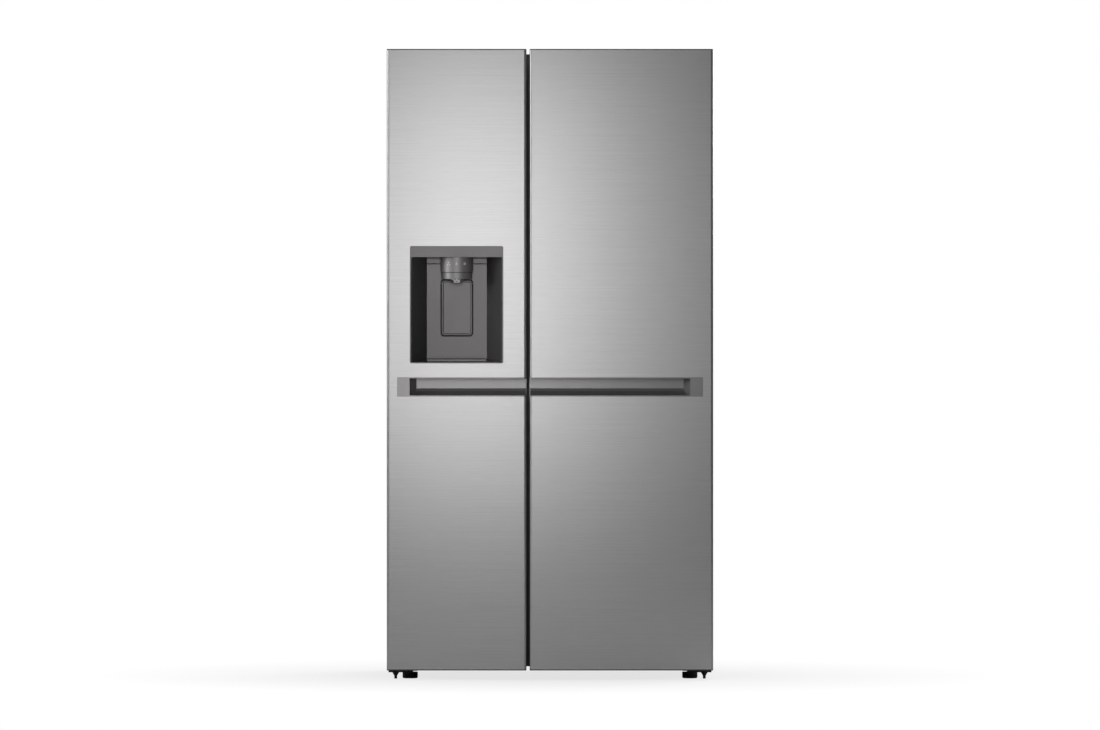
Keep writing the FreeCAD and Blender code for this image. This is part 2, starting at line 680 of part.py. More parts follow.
# Ice maker, bin and auger, in line with the dispenser
ICE_BIN_X = (FREEZER[0] + 16.0, FREEZER[1] - 16.0)
ICE_BIN_Y = (-200.0, 205.0)
ICE_BIN_Z = (CHUTE_MOUTH_BOTTOM, 1500.0)
AUGER_RADIUS = 34.0
AUGER_Z = ICE_BIN_Z[0] + AUGER_RADIUS + 8.0
AUGER_SHAFT = 6.0
ICE_SHELF = 8.0


def ice_bin():
    """Bin with a port in front over the auger and a shaft hole behind."""
    bin_box = open_tray(ICE_BIN_X, ICE_BIN_Y, ICE_BIN_Z, TRAY_WALL)
    port = block((DISPENSER_X - 26.0, DISPENSER_X + 26.0), (ICE_BIN_Y[0] - 1.0, ICE_BIN_Y[0] + 5.0),
                 (ICE_BIN_Z[0] + 5.0, ICE_BIN_Z[0] + 60.0))
    hole = rod(AUGER_SHAFT + 2.0, 10.0, V(DISPENSER_X, ICE_BIN_Y[1] - 5.0, AUGER_Z), Y_AXIS)
    return bin_box.cut([port, hole])


def ice_auger():
    """Shaft with paddles in a spiral, carried by the drive behind the bin."""
    start = ICE_BIN_Y[0] + 12.0
    shaft = rod(AUGER_SHAFT, ICE_BIN_Y[1] + 18.0 - start, V(DISPENSER_X, start, AUGER_Z), Y_AXIS)
    flights = []
    for k in range(12):
        flight = block((-7.0, 7.0), (-2.0, 2.0), (0, AUGER_RADIUS))
        flight.rotate(V(0, 0, 0), Z_AXIS, 30.0)
        flight.rotate(V(0, 0, 0), Y_AXIS, 45.0 * k)
        flight.translate(V(DISPENSER_X, start + 20.0 + 29.0 * k, AUGER_Z))
        flights.append(flight)
    return fuse(shaft, *flights)


def ice_bin_carrier():
    """Ledge across the freezer that carries the ice bin, with the auger's drive behind the bin."""
    y = (ICE_BIN_Y[1] + 6.0, CAVITY_REAR)
    case = block((DISPENSER_X - 60.0, DISPENSER_X + 60.0), y, (ICE_BIN_Z[0] - ICE_SHELF, AUGER_Z + 70.0))
    case = rounded(case, 8.0, Z_AXIS)
    ledge = block(FREEZER, (ICE_BIN_Y[0] + 40.0, CAVITY_REAR), (ICE_BIN_Z[0] - ICE_SHELF, ICE_BIN_Z[0]))
    return fuse(case, ledge).cut(rod(AUGER_SHAFT + RUNNING, 14.0, V(DISPENSER_X, y[0] - 1.0, AUGER_Z), Y_AXIS))


def ice_maker():
    """Mould tray, drive head and hanging bracket under the freezer ceiling."""
    hanger_x = (FREEZER_MIDDLE - 22.0, FREEZER_MIDDLE + 22.0)
    mould_x = (FREEZER_MIDDLE - 62.0, FREEZER_MIDDLE + 62.0)
    low = CAVITY_TOP - 104.0
    front_hanger = block(hanger_x, (-110.0, -20.0), (low, CAVITY_TOP))
    rear_hanger = block(hanger_x, (150.0, 190.0), (low, CAVITY_TOP))
    mould = block(mould_x, (-20.0, 190.0), (low, low + 50.0))
    head = rounded(block(mould_x, (-110.0, -20.0), (low - 15.0, low + 90.0)), 8.0, Z_AXIS)
    ice_room = block((mould_x[0] + 8.0, mould_x[1] - 8.0), (-12.0, 145.0), (low + 12.0, low + 60.0))
    return fuse(front_hanger, rear_hanger, mould, head).cut(ice_room)


# ---- Doors ---------------------------------------------------------------------------------------

def door_skin(door):
    """Brushed steel wrap: face and both returns, with rounded upright edges."""
    z = (DOOR_BOTTOM + CAP_RIM, DOOR_TOP - CAP_RIM)
    outer = block(door, (SKIN_FRONT, LINER_FRONT + 20.0), z)
    outer = outer.makeFillet(EDGE_RADIUS, front_edges(outer, SKIN_FRONT))
    inner = block((door[0] + SHEET, door[1] - SHEET), (SKIN_FRONT + SHEET, LINER_FRONT + 30.0), z)
    inner = inner.makeFillet(EDGE_RADIUS - SHEET, front_edges(inner, SKIN_FRONT + SHEET))
    behind = block((door[0] - 1.0, door[1] + 1.0), (LINER_FRONT, LINER_FRONT + 40.0), z)
    return outer.cut([inner, behind])


def door_core(door, grow):
    """The space inside the skin, or with a grow its outside, with rounded front edges."""
    inner = (door[0] + SHEET - grow, door[1] - SHEET + grow)
    front = SKIN_FRONT + SHEET - grow
    core = block(inner, (front, DOOR_REAR), (DOOR_BOTTOM, DOOR_TOP))
    return core.makeFillet(EDGE_RADIUS - SHEET + grow, front_edges(core, front))


def front_edges(shape, y):
    edges = []
    for edge in shape.Edges:
        box = edge.BoundBox
        if abs(box.YMax - y) < 0.01 and box.ZLength > 10.0:
            edges.append(edge)
    return edges


def hinge_recess():
    """Room over the right door's outer rear corner for the hinge arm as the door turns."""
    y = (PIN_Y - ARM_HALF_WIDTH - 27.0, DOOR_REAR + 1.0)
    return block((PIN_X - ARM_HALF_WIDTH - 2.0, HALF + 1.0), y, (CASE_TOP - 2.5, DOOR_TOP + 1.0))


def left_hinge_recess():
    return mirrored(hinge_recess())


def inside_skin(door):
    return (door[0] + SHEET, door[1] - SHEET)


def door_caps(door, pin_x, recess):
    """Moulded top and bottom caps with the hinge bores."""
    caps = []
    for top in (True, False):
        edge = DOOR_TOP if top else DOOR_BOTTOM
        inward = -1.0 if top else 1.0
        rim_z = sorted((edge, edge + inward * CAP_RIM))
        plug_z = sorted((edge + inward * CAP_RIM, edge + inward * CAP_DEPTH))
        rim = block(door, (SKIN_FRONT, DOOR_REAR), rim_z)
        rim = rim.makeFillet(EDGE_RADIUS, front_edges_short(rim, SKIN_FRONT))
        x = inside_skin(door)
        plug = block(x, (SKIN_FRONT + SHEET, LINER_FRONT), plug_z)
        plug = plug.makeFillet(EDGE_RADIUS - SHEET, front_edges_short(plug, SKIN_FRONT + SHEET))
        hollow_z = sorted((edge + inward * CAP_RIM, edge + inward * (CAP_DEPTH + 1.0)))
        hollow = block((x[0] + CAP_WALL, x[1] - CAP_WALL),
                       (SKIN_FRONT + SHEET + CAP_WALL, LINER_FRONT - CAP_WALL), hollow_z)
        solid = plug.cut(hollow)
        seat = block((pin_x - ARM_HALF_WIDTH - 5.0, pin_x + ARM_HALF_WIDTH + 5.0),
                     (PIN_Y - ARM_HALF_WIDTH - 30.0, LINER_FRONT - 1.0), plug_z)
        seat = seat.common(plug)
        sill = recess.BoundBox
        floor = block((max(x[0], sill.XMin - CAP_WALL), min(x[1], sill.XMax + CAP_WALL)),
                      (sill.YMin - CAP_WALL, LINER_FRONT), plug_z)
        cap = fuse(rim, solid, seat, floor.common(plug))
        if top:
            bore = rod(PIN_RADIUS + RUNNING, 30.0, V(pin_x, PIN_Y, CASE_TOP - 16.0), Z_AXIS)
            cap = cap.cut(recess)
        else:
            bore = rod(PIN_RADIUS + RUNNING, 20.0, V(pin_x, PIN_Y, DOOR_BOTTOM - 1.0), Z_AXIS)
        caps.append(cap.cut(bore))
    return caps


def front_edges_short(shape, y):
    edges = []
    for edge in shape.Edges:
        box = edge.BoundBox
        if abs(box.YMax - y) < 0.01 and box.ZLength > 1.0 and box.XLength < 0.01:
            edges.append(edge)
    return edges


def ring(x, y, z, width):
    inner = block((x[0] + width, x[1] - width), (y[0] - 1.0, y[1] + 1.0), (z[0] + width, z[1] - width))
    return block(x, y, z).cut(inner)


def gasket(cavity):
    x = (cavity[0] - GASKET_WIDTH - 2.0, cavity[1] + GASKET_WIDTH + 2.0)
    z = (CAVITY_FLOOR - GASKET_WIDTH - 2.0, CAVITY_TOP + GASKET_WIDTH + 2.0)
    return ring(x, (DOOR_REAR, CASE_FRONT - 0.2), z, GASKET_WIDTH)


def dyke_span(cavity):
    return (cavity[0] + DYKE_FROM_WALL, cavity[1] - DYKE_FROM_WALL)


def door_liner(door, cavity):
    """Moulded inner panel with a raised dyke that carries the bins."""
    x = inside_skin(door)
    plate = block(x, (LINER_FRONT, DOOR_REAR), (DOOR_BOTTOM + CAP_RIM, CASE_TOP - 4.0))
    z = (CAVITY_FLOOR + DYKE_FROM_WALL, CAVITY_TOP - DYKE_FROM_WALL)
    span = dyke_span(cavity)
    dyke = ring(span, (DOOR_REAR, DOOR_REAR + DYKE_HEIGHT), z, DYKE_WIDTH)
    hollow = ring((span[0] + LINER, span[1] - LINER), (LINER_FRONT - 1.0, DOOR_REAR + DYKE_HEIGHT - LINER),
                  (z[0] + LINER, z[1] - LINER), DYKE_WIDTH - 2 * LINER)
    return fuse(plate, dyke).cut(hollow)


def dyke_foam(cavity):
    """Four foam bars that fill the dyke."""
    span = dyke_span(cavity)
    x = (span[0] + LINER, span[1] - LINER)
    z = (CAVITY_FLOOR + DYKE_FROM_WALL + LINER, CAVITY_TOP - DYKE_FROM_WALL - LINER)
    y = (LINER_FRONT, DOOR_REAR + DYKE_HEIGHT - LINER)
    width = DYKE_WIDTH - 2 * LINER
    return [block((x[0], x[0] + width), y, z), block((x[1] - width, x[1]), y, z),
            block((x[0] + width, x[1] - width), y, (z[0], z[0] + width)),
            block((x[0] + width, x[1] - width), y, (z[1] - width, z[1]))]


def bin_span(cavity):
    inset = DYKE_FROM_WALL + DYKE_WIDTH
    return (cavity[0] + inset, cavity[1] - inset)


def door_bin(x, bottom):
    return open_tray(x, (DOOR_REAR, BIN_REAR), (bottom, bottom + BIN_HEIGHT), TRAY_WALL)


def freezer_door_bins():
    """One high bin, two below the dispenser and a half-width one beside the drawers."""
    x = bin_span(FREEZER)
    half = ((x[0] + x[1]) / 2, x[1])
    return [door_bin(x, 1540.0), door_bin(x, 720.0), door_bin(x, 530.0), door_bin(half, 200.0)]


def fridge_door_bins():
    """Three full-width bins and a half-width one beside the drawers."""
    x = bin_span(FRIDGE)
    half = (x[0], (x[0] + x[1]) / 2)
    return [door_bin(x, 1230.0), door_bin(x, 900.0), door_bin(x, 560.0), door_bin(half, 200.0)]


def handle_span(door, left):
    if left:
        return (door[0] + HANDLE_FROM_SIDE, door[1])
    return (door[0], door[1] - HANDLE_FROM_SIDE)


def handle(door, left):
    """Moulded grip across the door: flat cap, ramp and a scoop open to the gap between the doors."""
    x = handle_span(door, left)
    behind = (x[0], x[1] - SHEET) if left else (x[0] + SHEET, x[1])
    face = block(x, (FRONT, SKIN_FRONT + SHEET), (HANDLE_BOTTOM, HANDLE_TOP))
    body = block(behind, (SKIN_FRONT + SHEET, FRONT + HANDLE_DEPTH),
                 (HANDLE_BOTTOM - 4.0, HANDLE_TOP + HANDLE_RISE + 3.0))
    envelope = door_core(door, SHEET)
    envelope = envelope.fuse(envelope.translated(V(0, -PROUD, 0)))
    grip = fuse(face.common(envelope), body.common(door_core(door, 0.0)))
    low = HANDLE_BOTTOM + 3.0
    high = HANDLE_TOP - 3.0
    back = FRONT + HANDLE_POCKET
    outline = [V(0, FRONT - 1.0, low), V(0, FRONT + 12.0, low + 1.0), V(0, FRONT + 25.0, low + 5.0),
               V(0, back - 4.0, low + 12.0), V(0, back, low + 20.0), V(0, back, HANDLE_TOP + HANDLE_RISE),
               V(0, FRONT + HANDLE_LIP, HANDLE_TOP + HANDLE_RISE), V(0, FRONT + HANDLE_LIP, high + 4.0),
               V(0, FRONT + 8.0, high), V(0, FRONT - 1.0, high)]
    length = x[1] - x[0] - HANDLE_CAP
    scoop = prism(outline, V(length + 1.0, 0, 0))
    start = x[0] + HANDLE_CAP if left else x[0] - 1.0
    scoop.translate(V(start, 0, 0))
    foot = x[0] + HANDLE_CAP if left else x[1] - HANDLE_CAP
    inward = 1.0 if left else -1.0
    ramp = prism([V(foot - inward, FRONT, HANDLE_BOTTOM - 5.0),
                  V(foot + inward * HANDLE_RAMP, back + 1.0, HANDLE_BOTTOM - 5.0),
                  V(foot - inward, back + 1.0, HANDLE_BOTTOM - 5.0)],
                 V(0, 0, HANDLE_HEIGHT + HANDLE_RISE + 20.0))
    return grip.cut(scoop.cut(ramp))


def handle_window(door, left):
    """The opening in the skin that the grip fills."""
    x = handle_span(door, left)
    wide = (x[0], x[1] + 1.0) if left else (x[0] - 1.0, x[1])
    return block(wide, (SKIN_FRONT - 1.0, FRONT + HANDLE_DEPTH), (HANDLE_BOTTOM, HANDLE_TOP))


def around_handle(door, left, y):
    """Foam outboard of the grip and behind it."""
    x = inside_skin(door)
    grip = handle_span(door, left)
    z = (HANDLE_BOTTOM - 4.0, HANDLE_TOP + HANDLE_RISE + 3.0)
    outboard = (x[0], grip[0]) if left else (grip[1], x[1])
    return [block(x, (FRONT + HANDLE_DEPTH, y[1]), z), block(outboard, (y[0], FRONT + HANDLE_DEPTH), z)]


# ---- Dispenser -----------------------------------------------------------------------------------

def dispenser_housing():
    """Moulded niche with sloping cheeks, a flat band on top and a pocket behind the paddle."""
    half = DISPENSER_WIDTH / 2
    x = (DISPENSER_X - half, DISPENSER_X + half)
    frame = block(x, (FRONT, SKIN_FRONT), (DISPENSER_BOTTOM, DISPENSER_TOP))
    frame = rounded(frame, FRAME_CORNER, Y_AXIS)
    inset = FRAME_LAP
    body = block((x[0] + inset, x[1] - inset), (SKIN_FRONT, NICHE_BACK + DISPENSER_SHELL),
                 (DISPENSER_BOTTOM + 0.5, DISPENSER_TOP - inset))
    pocket_z = (PADDLE_BOTTOM - PADDLE_GAP, PADDLE_BOTTOM + PADDLE_HEIGHT + PADDLE_GAP)
    pocket_half = PADDLE_WIDTH / 2 + PADDLE_GAP
    pocket_x = (DISPENSER_X - pocket_half, DISPENSER_X + pocket_half)
    ears_x = (pocket_x[0] - EAR, pocket_x[1] + EAR)
    rear = block(ears_x, (NICHE_BACK, RECESS_BACK), (pocket_z[0] - EAR, pocket_z[1] + EAR))
    niche = niche_space()
    pocket = block(pocket_x, (NICHE_BACK - CUT_OVER, NICHE_BACK + PADDLE_ROOM), pocket_z)
    pocket = rounded(pocket, PADDLE_CORNER + PADDLE_GAP, Y_AXIS)
    exit_half = CHUTE_EXIT_WIDTH / 2
    chute = block((DISPENSER_X - exit_half, DISPENSER_X + exit_half),
                  (TURRET_Y - CHUTE_EXIT_FRONT, TURRET_Y + CHUTE_EXIT_REAR),
                  (NICHE_TOP - CUT_OVER, DISPENSER_TOP + CUT_OVER))
    pin_half = pocket_half + PADDLE_PIN_BEYOND + RUNNING
    pins = rod(PADDLE_PIN_RADIUS + RUNNING, 2 * pin_half,
               V(DISPENSER_X - pin_half, paddle_axis().y, paddle_axis().z), X_AXIS)
    upper = block((x[0] + inset, x[1] - inset), (SKIN_FRONT + SHEET + DISPENSER_SHELL, NICHE_BACK),
                  (NICHE_TOP + DISPENSER_SHELL, DISPENSER_TOP))
    ears = block(ears_x, (NICHE_BACK, NICHE_BACK + PADDLE_ROOM), (pocket_z[1] - EAR_HEIGHT, pocket_z[1]))
    return fuse(frame, body, rear, ears).cut([niche, pocket, chute, pins, upper])


def niche_space():
    half = DISPENSER_WIDTH / 2 - 1.5
    back_half = NICHE_BACK_WIDTH / 2
    low = DISPENSER_BOTTOM + NICHE_SILL
    front = Part.makePolygon([V(DISPENSER_X - half, FRONT - 0.5, low), V(DISPENSER_X + half, FRONT - 0.5, low),
                              V(DISPENSER_X + half, FRONT - 0.5, NICHE_TOP),
                              V(DISPENSER_X - half, FRONT - 0.5, NICHE_TOP),
                              V(DISPENSER_X - half, FRONT - 0.5, low)])
    low = DISPENSER_BOTTOM + NICHE_BACK_SILL
    back = Part.makePolygon([V(DISPENSER_X - back_half, NICHE_BACK, low),
                             V(DISPENSER_X + back_half, NICHE_BACK, low),
                             V(DISPENSER_X + back_half, NICHE_BACK, NICHE_TOP),
                             V(DISPENSER_X - back_half, NICHE_BACK, NICHE_TOP),
                             V(DISPENSER_X - back_half, NICHE_BACK, low)])
    return Part.makeLoft([front, back], True, True)


def dispenser_turret():
    """Round control turret under the band: drum and smaller collar, with the ice way through it."""
    drum = rod(TURRET_RADIUS, TURRET_HEIGHT, V(DISPENSER_X, TURRET_Y, NICHE_TOP - TURRET_HEIGHT), Z_AXIS)
    bottom = NICHE_TOP - TURRET_HEIGHT - TURRET_COLLAR_HEIGHT
    collar = rod(TURRET_COLLAR_RADIUS, TURRET_COLLAR_HEIGHT, V(DISPENSER_X, TURRET_Y, bottom), Z_AXIS)
    turret = fuse(drum, collar)
    behind = block((DISPENSER_X - TURRET_RADIUS, DISPENSER_X + TURRET_RADIUS),
                   (NICHE_BACK, TURRET_Y + TURRET_RADIUS + CUT_OVER), (bottom - CUT_OVER, NICHE_TOP + CUT_OVER))
    way_half = TURRET_WAY_WIDTH / 2
    way = block((DISPENSER_X - way_half, DISPENSER_X + way_half),
                (TURRET_Y - TURRET_WAY_FRONT, TURRET_Y + TURRET_WAY_REAR),
                (bottom - CUT_OVER, NICHE_TOP + CUT_OVER))
    return turret.cut([behind, way])


def dispenser_nozzle():
    """Bright water nozzle under the front of the collar."""
    top = NICHE_TOP - TURRET_HEIGHT - TURRET_COLLAR_HEIGHT
    place = V(DISPENSER_X, TURRET_Y - NOZZLE_FORWARD, top - NOZZLE_HEIGHT)
    nozzle = Part.makeCone(NOZZLE_RADIUS - NOZZLE_TAPER, NOZZLE_RADIUS, NOZZLE_HEIGHT, place, Z_AXIS)
    return nozzle.cut(rod(NOZZLE_BORE, NOZZLE_HEIGHT - NOZZLE_ROOF, place, Z_AXIS))


def paddle_axis():
    return V(DISPENSER_X, NICHE_BACK + PADDLE_KNUCKLE_RADIUS + KNUCKLE_CLEAR,
             PADDLE_BOTTOM + PADDLE_HEIGHT - PADDLE_PIN_DROP)


def dispenser_paddle():
    """Rounded plate hung on two pins at its top, which a cup pushes back."""
    half = PADDLE_WIDTH / 2
    face = NICHE_BACK - PADDLE_PROUD
    plate = block((DISPENSER_X - half, DISPENSER_X + half), (face, face + PADDLE_THICK),
                  (PADDLE_BOTTOM, PADDLE_BOTTOM + PADDLE_HEIGHT))
    plate = rounded(plate, PADDLE_CORNER, Y_AXIS)
    axis = paddle_axis()
    knuckle_half = half - KNUCKLE_INSET
    knuckle = rod(PADDLE_KNUCKLE_RADIUS, 2 * knuckle_half, V(DISPENSER_X - knuckle_half, axis.y, axis.z), X_AXIS)
    pin_half = half + PADDLE_GAP + PADDLE_PIN_BEYOND
    pins = rod(PADDLE_PIN_RADIUS, 2 * pin_half, V(DISPENSER_X - pin_half, axis.y, axis.z), X_AXIS)
    return fuse(plate, knuckle, pins)


def chute_outline(grow):
    """Wires of the ice way: the upright mouth at the liner and the level end over the turret."""
    half = CHUTE_WIDTH / 2 - grow
    low = CHUTE_MOUTH_BOTTOM + grow
    high = CHUTE_MOUTH_BOTTOM + CHUTE_HEIGHT - grow
    mouth = [V(DISPENSER_X - half, LINER_FRONT, low), V(DISPENSER_X + half, LINER_FRONT, low),
             V(DISPENSER_X + half, LINER_FRONT, high), V(DISPENSER_X - half, LINER_FRONT, high)]
    half = 29.0 - grow
    near = TURRET_Y + 23.0 - grow
    far = TURRET_Y - 25.0 + grow
    foot = [V(DISPENSER_X - half, near, DISPENSER_TOP), V(DISPENSER_X + half, near, DISPENSER_TOP),
            V(DISPENSER_X + half, far, DISPENSER_TOP), V(DISPENSER_X - half, far, DISPENSER_TOP)]
    return [Part.makePolygon(foot + foot[:1]), Part.makePolygon(mouth + mouth[:1])]


def ice_chute():
    """Sloping duct through the door, with a straight mouth that meets the ice bin."""
    half = CHUTE_WIDTH / 2
    z = (CHUTE_MOUTH_BOTTOM, CHUTE_MOUTH_BOTTOM + CHUTE_HEIGHT)
    y = (LINER_FRONT, DOOR_REAR + CHUTE_MOUTH_LENGTH)
    slope = Part.makeLoft(chute_outline(0), True, True)
    room = Part.makeLoft(chute_outline(CHUTE_WALL), True, True)
    mouth = block((DISPENSER_X - half, DISPENSER_X + half), y, z)
    mouth_room = block((DISPENSER_X - half + CHUTE_WALL, DISPENSER_X + half - CHUTE_WALL),
                       (y[0] - 1.0, y[1] + 1.0), (z[0] + CHUTE_WALL, z[1] - CHUTE_WALL))
    axis = flap_axis()
    bores = rod(2.0 + RUNNING, CHUTE_WIDTH, V(DISPENSER_X - half, axis.y, axis.z), X_AXIS)
    return fuse(slope, mouth).cut([room, mouth_room, bores])


def flap_axis():
    return V(DISPENSER_X, DOOR_REAR + 8.0, CHUTE_MOUTH_BOTTOM + CHUTE_HEIGHT - CHUTE_WALL - 4.0)


def chute_flap():
    """Flap that shuts the chute's mouth, hung on two pins."""
    axis = flap_axis()
    half = CHUTE_WIDTH / 2 - CHUTE_WALL - 0.8
    plate = block((DISPENSER_X - half, DISPENSER_X + half), (axis.y - 1.5, axis.y + 1.5),
                  (CHUTE_MOUTH_BOTTOM + CHUTE_WALL + 1.0, axis.z))
    knuckle = rod(3.0, 2 * half, V(DISPENSER_X - half, axis.y, axis.z), X_AXIS)
    pins = rod(2.0, CHUTE_WIDTH - 1.0, V(DISPENSER_X - CHUTE_WIDTH / 2 + 0.5, axis.y, axis.z), X_AXIS)
    return fuse(plate, knuckle, pins)


def dispenser_window():
    half = DISPENSER_WIDTH / 2 - 3.0
    return block((DISPENSER_X - half, DISPENSER_X + half), (SKIN_FRONT - 1.0, SKIN_FRONT + 4.0),
                 (DISPENSER_BOTTOM + 0.5, DISPENSER_TOP - 3.0))


def chute_room():
    """The way through the door liner for the chute."""
    half = CHUTE_WIDTH / 2
    return block((DISPENSER_X - half, DISPENSER_X + half), (LINER_FRONT - 1.0, DOOR_REAR + 1.0),
                 (CHUTE_MOUTH_BOTTOM, CHUTE_MOUTH_BOTTOM + CHUTE_HEIGHT))


# ---- Door insulation -----------------------------------------------------------------------------

def foam_depth():
    return (SKIN_FRONT + SHEET, LINER_FRONT)


def freezer_door_foam():
    """Foam in convex blocks round the grip, the dispenser and the ice chute."""
    x = inside_skin(LEFT_DOOR)
    y = foam_depth()
    low = DOOR_BOTTOM + CAP_DEPTH
    high = DOOR_TOP - CAP_DEPTH
    handle_z = (HANDLE_BOTTOM - 4.0, HANDLE_TOP + HANDLE_RISE + 3.0)
    half = DISPENSER_WIDTH / 2 - 3.0
    niche_x = (DISPENSER_X - half, DISPENSER_X + half)
    chute_half = CHUTE_WIDTH / 2
    chute_z = (DISPENSER_TOP, CHUTE_MOUTH_BOTTOM + CHUTE_HEIGHT)
    blocks = around_handle(LEFT_DOOR, True, y)
    blocks += [
        block(x, y, (low, handle_z[0])),
        block(x, y, (handle_z[1], DISPENSER_BOTTOM)),
        block((x[0], niche_x[0]), y, (DISPENSER_BOTTOM, DISPENSER_TOP)),
        block((niche_x[1], x[1]), y, (DISPENSER_BOTTOM, DISPENSER_TOP)),
        block(niche_x, (RECESS_BACK, y[1]), (DISPENSER_BOTTOM, DISPENSER_TOP)),
        block((x[0], DISPENSER_X - chute_half), y, chute_z),
        block((DISPENSER_X + chute_half, x[1]), y, chute_z),
        block(x, y, (chute_z[1], high)),
    ]
    core = door_core(LEFT_DOOR, 0.0)
    return [piece.common(core) for piece in blocks] + dyke_foam(FREEZER)


def fridge_door_foam():
    x = inside_skin(RIGHT_DOOR)
    y = foam_depth()
    handle_z = (HANDLE_BOTTOM - 4.0, HANDLE_TOP + HANDLE_RISE + 3.0)
    blocks = around_handle(RIGHT_DOOR, False, y)
    blocks.append(block(x, y, (DOOR_BOTTOM + CAP_DEPTH, handle_z[0])))
    blocks.append(block(x, y, (handle_z[1], DOOR_TOP - CAP_DEPTH)))
    core = door_core(RIGHT_DOOR, 0.0)
    return [piece.common(core) for piece in blocks] + dyke_foam(FRIDGE)


# ---- Dairy compartment ---------------------------------------------------------------------------

DAIRY_BOTTOM = 1540.0
DAIRY_HEIGHT = 110.0
DAIRY_WIDTH = 240.0


def dairy_span():
    right = bin_span(FRIDGE)[1]
    return (right - DAIRY_WIDTH, right)


def dairy_axis():
    return V(dairy_span()[0], BIN_REAR - 6.0, DAIRY_BOTTOM + DAIRY_HEIGHT - 8.0)


def dairy_compartment():
    """Box on the door with an open face that the lid closes."""
    x = dairy_span()
    y = (DOOR_REAR, BIN_REAR)
    z = (DAIRY_BOTTOM, DAIRY_BOTTOM + DAIRY_HEIGHT)
    box = block(x, y, z)
    inside = block((x[0] + TRAY_WALL, x[1] - TRAY_WALL), (y[0] + TRAY_WALL, y[1] + 1.0),
                   (z[0] + TRAY_WALL, z[1] - TRAY_WALL))
    axis = dairy_axis()
    bores = rod(2.0 + RUNNING, DAIRY_WIDTH, V(x[0], axis.y, axis.z), X_AXIS)
    return box.cut([inside, bores])


def dairy_lid():
    """Clear lid hung on two pins at its top edge."""
    x = dairy_span()
    axis = dairy_axis()
    side = TRAY_WALL + 0.8
    plate = block((x[0] + side, x[1] - side), (axis.y - 1.2, axis.y + 1.2),
                  (DAIRY_BOTTOM + TRAY_WALL + 1.0, axis.z))
    knuckle = rod(3.0, DAIRY_WIDTH - 2 * side, V(x[0] + side, axis.y, axis.z), X_AXIS)
    pins = rod(2.0, DAIRY_WIDTH - 1.0, V(x[0] + 0.5, axis.y, axis.z), X_AXIS)
    return fuse(plate, knuckle, pins)


# ---- Files ---------------------------------------------------------------------------------------

def main():
    os.makedirs("parts", exist_ok=True)
    save("outer_wrapper", *outer_wrapper())
    save("rear_covers", *rear_covers())
    save("cabinet_insulation", *insulation())
    save("freezer_liner", cabinet_liner(FREEZER))
    save("fridge_liner", cabinet_liner(FRIDGE))
    save("front_frame", front_frame())
    save("base_frame", *base_frame())
    save("compressor", compressor())
    save("compressor_mounts", *compressor_mounts())
    save("evaporating_tray", evaporating_tray())
    save("condenser", condenser())
    save("condenser_fan", condenser_fan())
    save("water_valve", water_valve())
    save("evaporator_cover", evaporator_cover())
    save("evaporator", evaporator())
    save("evaporator_fan", evaporator_fan())
    save("fan_motors", condenser_fan_motor(), evaporator_fan_motor())
    save("fridge_air_duct", fridge_air_duct())
    save("control_box", control_box())
    save("fridge_shelves", *fridge_shelves())
    save("crisper_cover", crisper_cover())
    save("freezer_shelves", *freezer_shelves())
    save("drawer_runners", *drawer_runners())
    for name, cavity in (("freezer_drawer", FREEZER), ("crisper_drawer", FRIDGE)):
        save(name + "_lower", drawer(cavity, LOWER_DRAWER_BOTTOM, LOWER_DRAWER_REAR))
        save(name + "_upper", drawer(cavity, UPPER_DRAWER_BOTTOM, UPPER_DRAWER_REAR))
    save("ice_maker", ice_maker())
    save("ice_bin", ice_bin())
    save("ice_auger", ice_auger())
    save("ice_bin_carrier", ice_bin_carrier())
    hinge = top_hinge()
    save("top_hinges", *(hinge + [mirrored(piece) for piece in hinge]))
    save("hinge_covers", hinge_cover(), mirrored(hinge_cover()))
    save("bottom_hinges", bottom_hinge(), mirrored(bottom_hinge()))
    save("levelling_foot_right", levelling_foot())
    save("levelling_foot_left", mirrored(levelling_foot()))
    save("rear_roller_right", rear_roller())
    save("rear_roller_left", mirrored(rear_roller()))
    left_skin = door_skin(LEFT_DOOR).cut([handle_window(LEFT_DOOR, True), dispenser_window(),
                                          left_hinge_recess()])
    save("freezer_door_skin", left_skin)
    save("freezer_door_foam", *freezer_door_foam())
    save("freezer_door_liner", door_liner(LEFT_DOOR, FREEZER).cut(chute_room()))
    save("freezer_door_gasket", gasket(FREEZER))
    save("freezer_door_caps", *door_caps(LEFT_DOOR, -PIN_X, left_hinge_recess()))
    save("freezer_door_handle", handle(LEFT_DOOR, True))
    save("freezer_door_bins", *freezer_door_bins())
    save("dispenser_housing", dispenser_housing())
    save("dispenser_turret", dispenser_turret())
    save("dispenser_nozzle", dispenser_nozzle())
    save("dispenser_paddle", dispenser_paddle())
    save("ice_chute", ice_chute())
    save("chute_flap", chute_flap())
    right_skin = door_skin(RIGHT_DOOR).cut([handle_window(RIGHT_DOOR, False), hinge_recess()])
    save("fridge_door_skin", right_skin)
    save("fridge_door_foam", *fridge_door_foam())
    save("fridge_door_liner", door_liner(RIGHT_DOOR, FRIDGE))
    save("fridge_door_gasket", gasket(FRIDGE))
    save("fridge_door_caps", *door_caps(RIGHT_DOOR, PIN_X, hinge_recess()))
    save("fridge_door_handle", handle(RIGHT_DOOR, False))
    save("fridge_door_bins", *fridge_door_bins())
    save("dairy_compartment", dairy_compartment())
    save("dairy_lid", dairy_lid())


main()
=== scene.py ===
import math
import bmesh
import bpy
from mathutils import Matrix, Vector


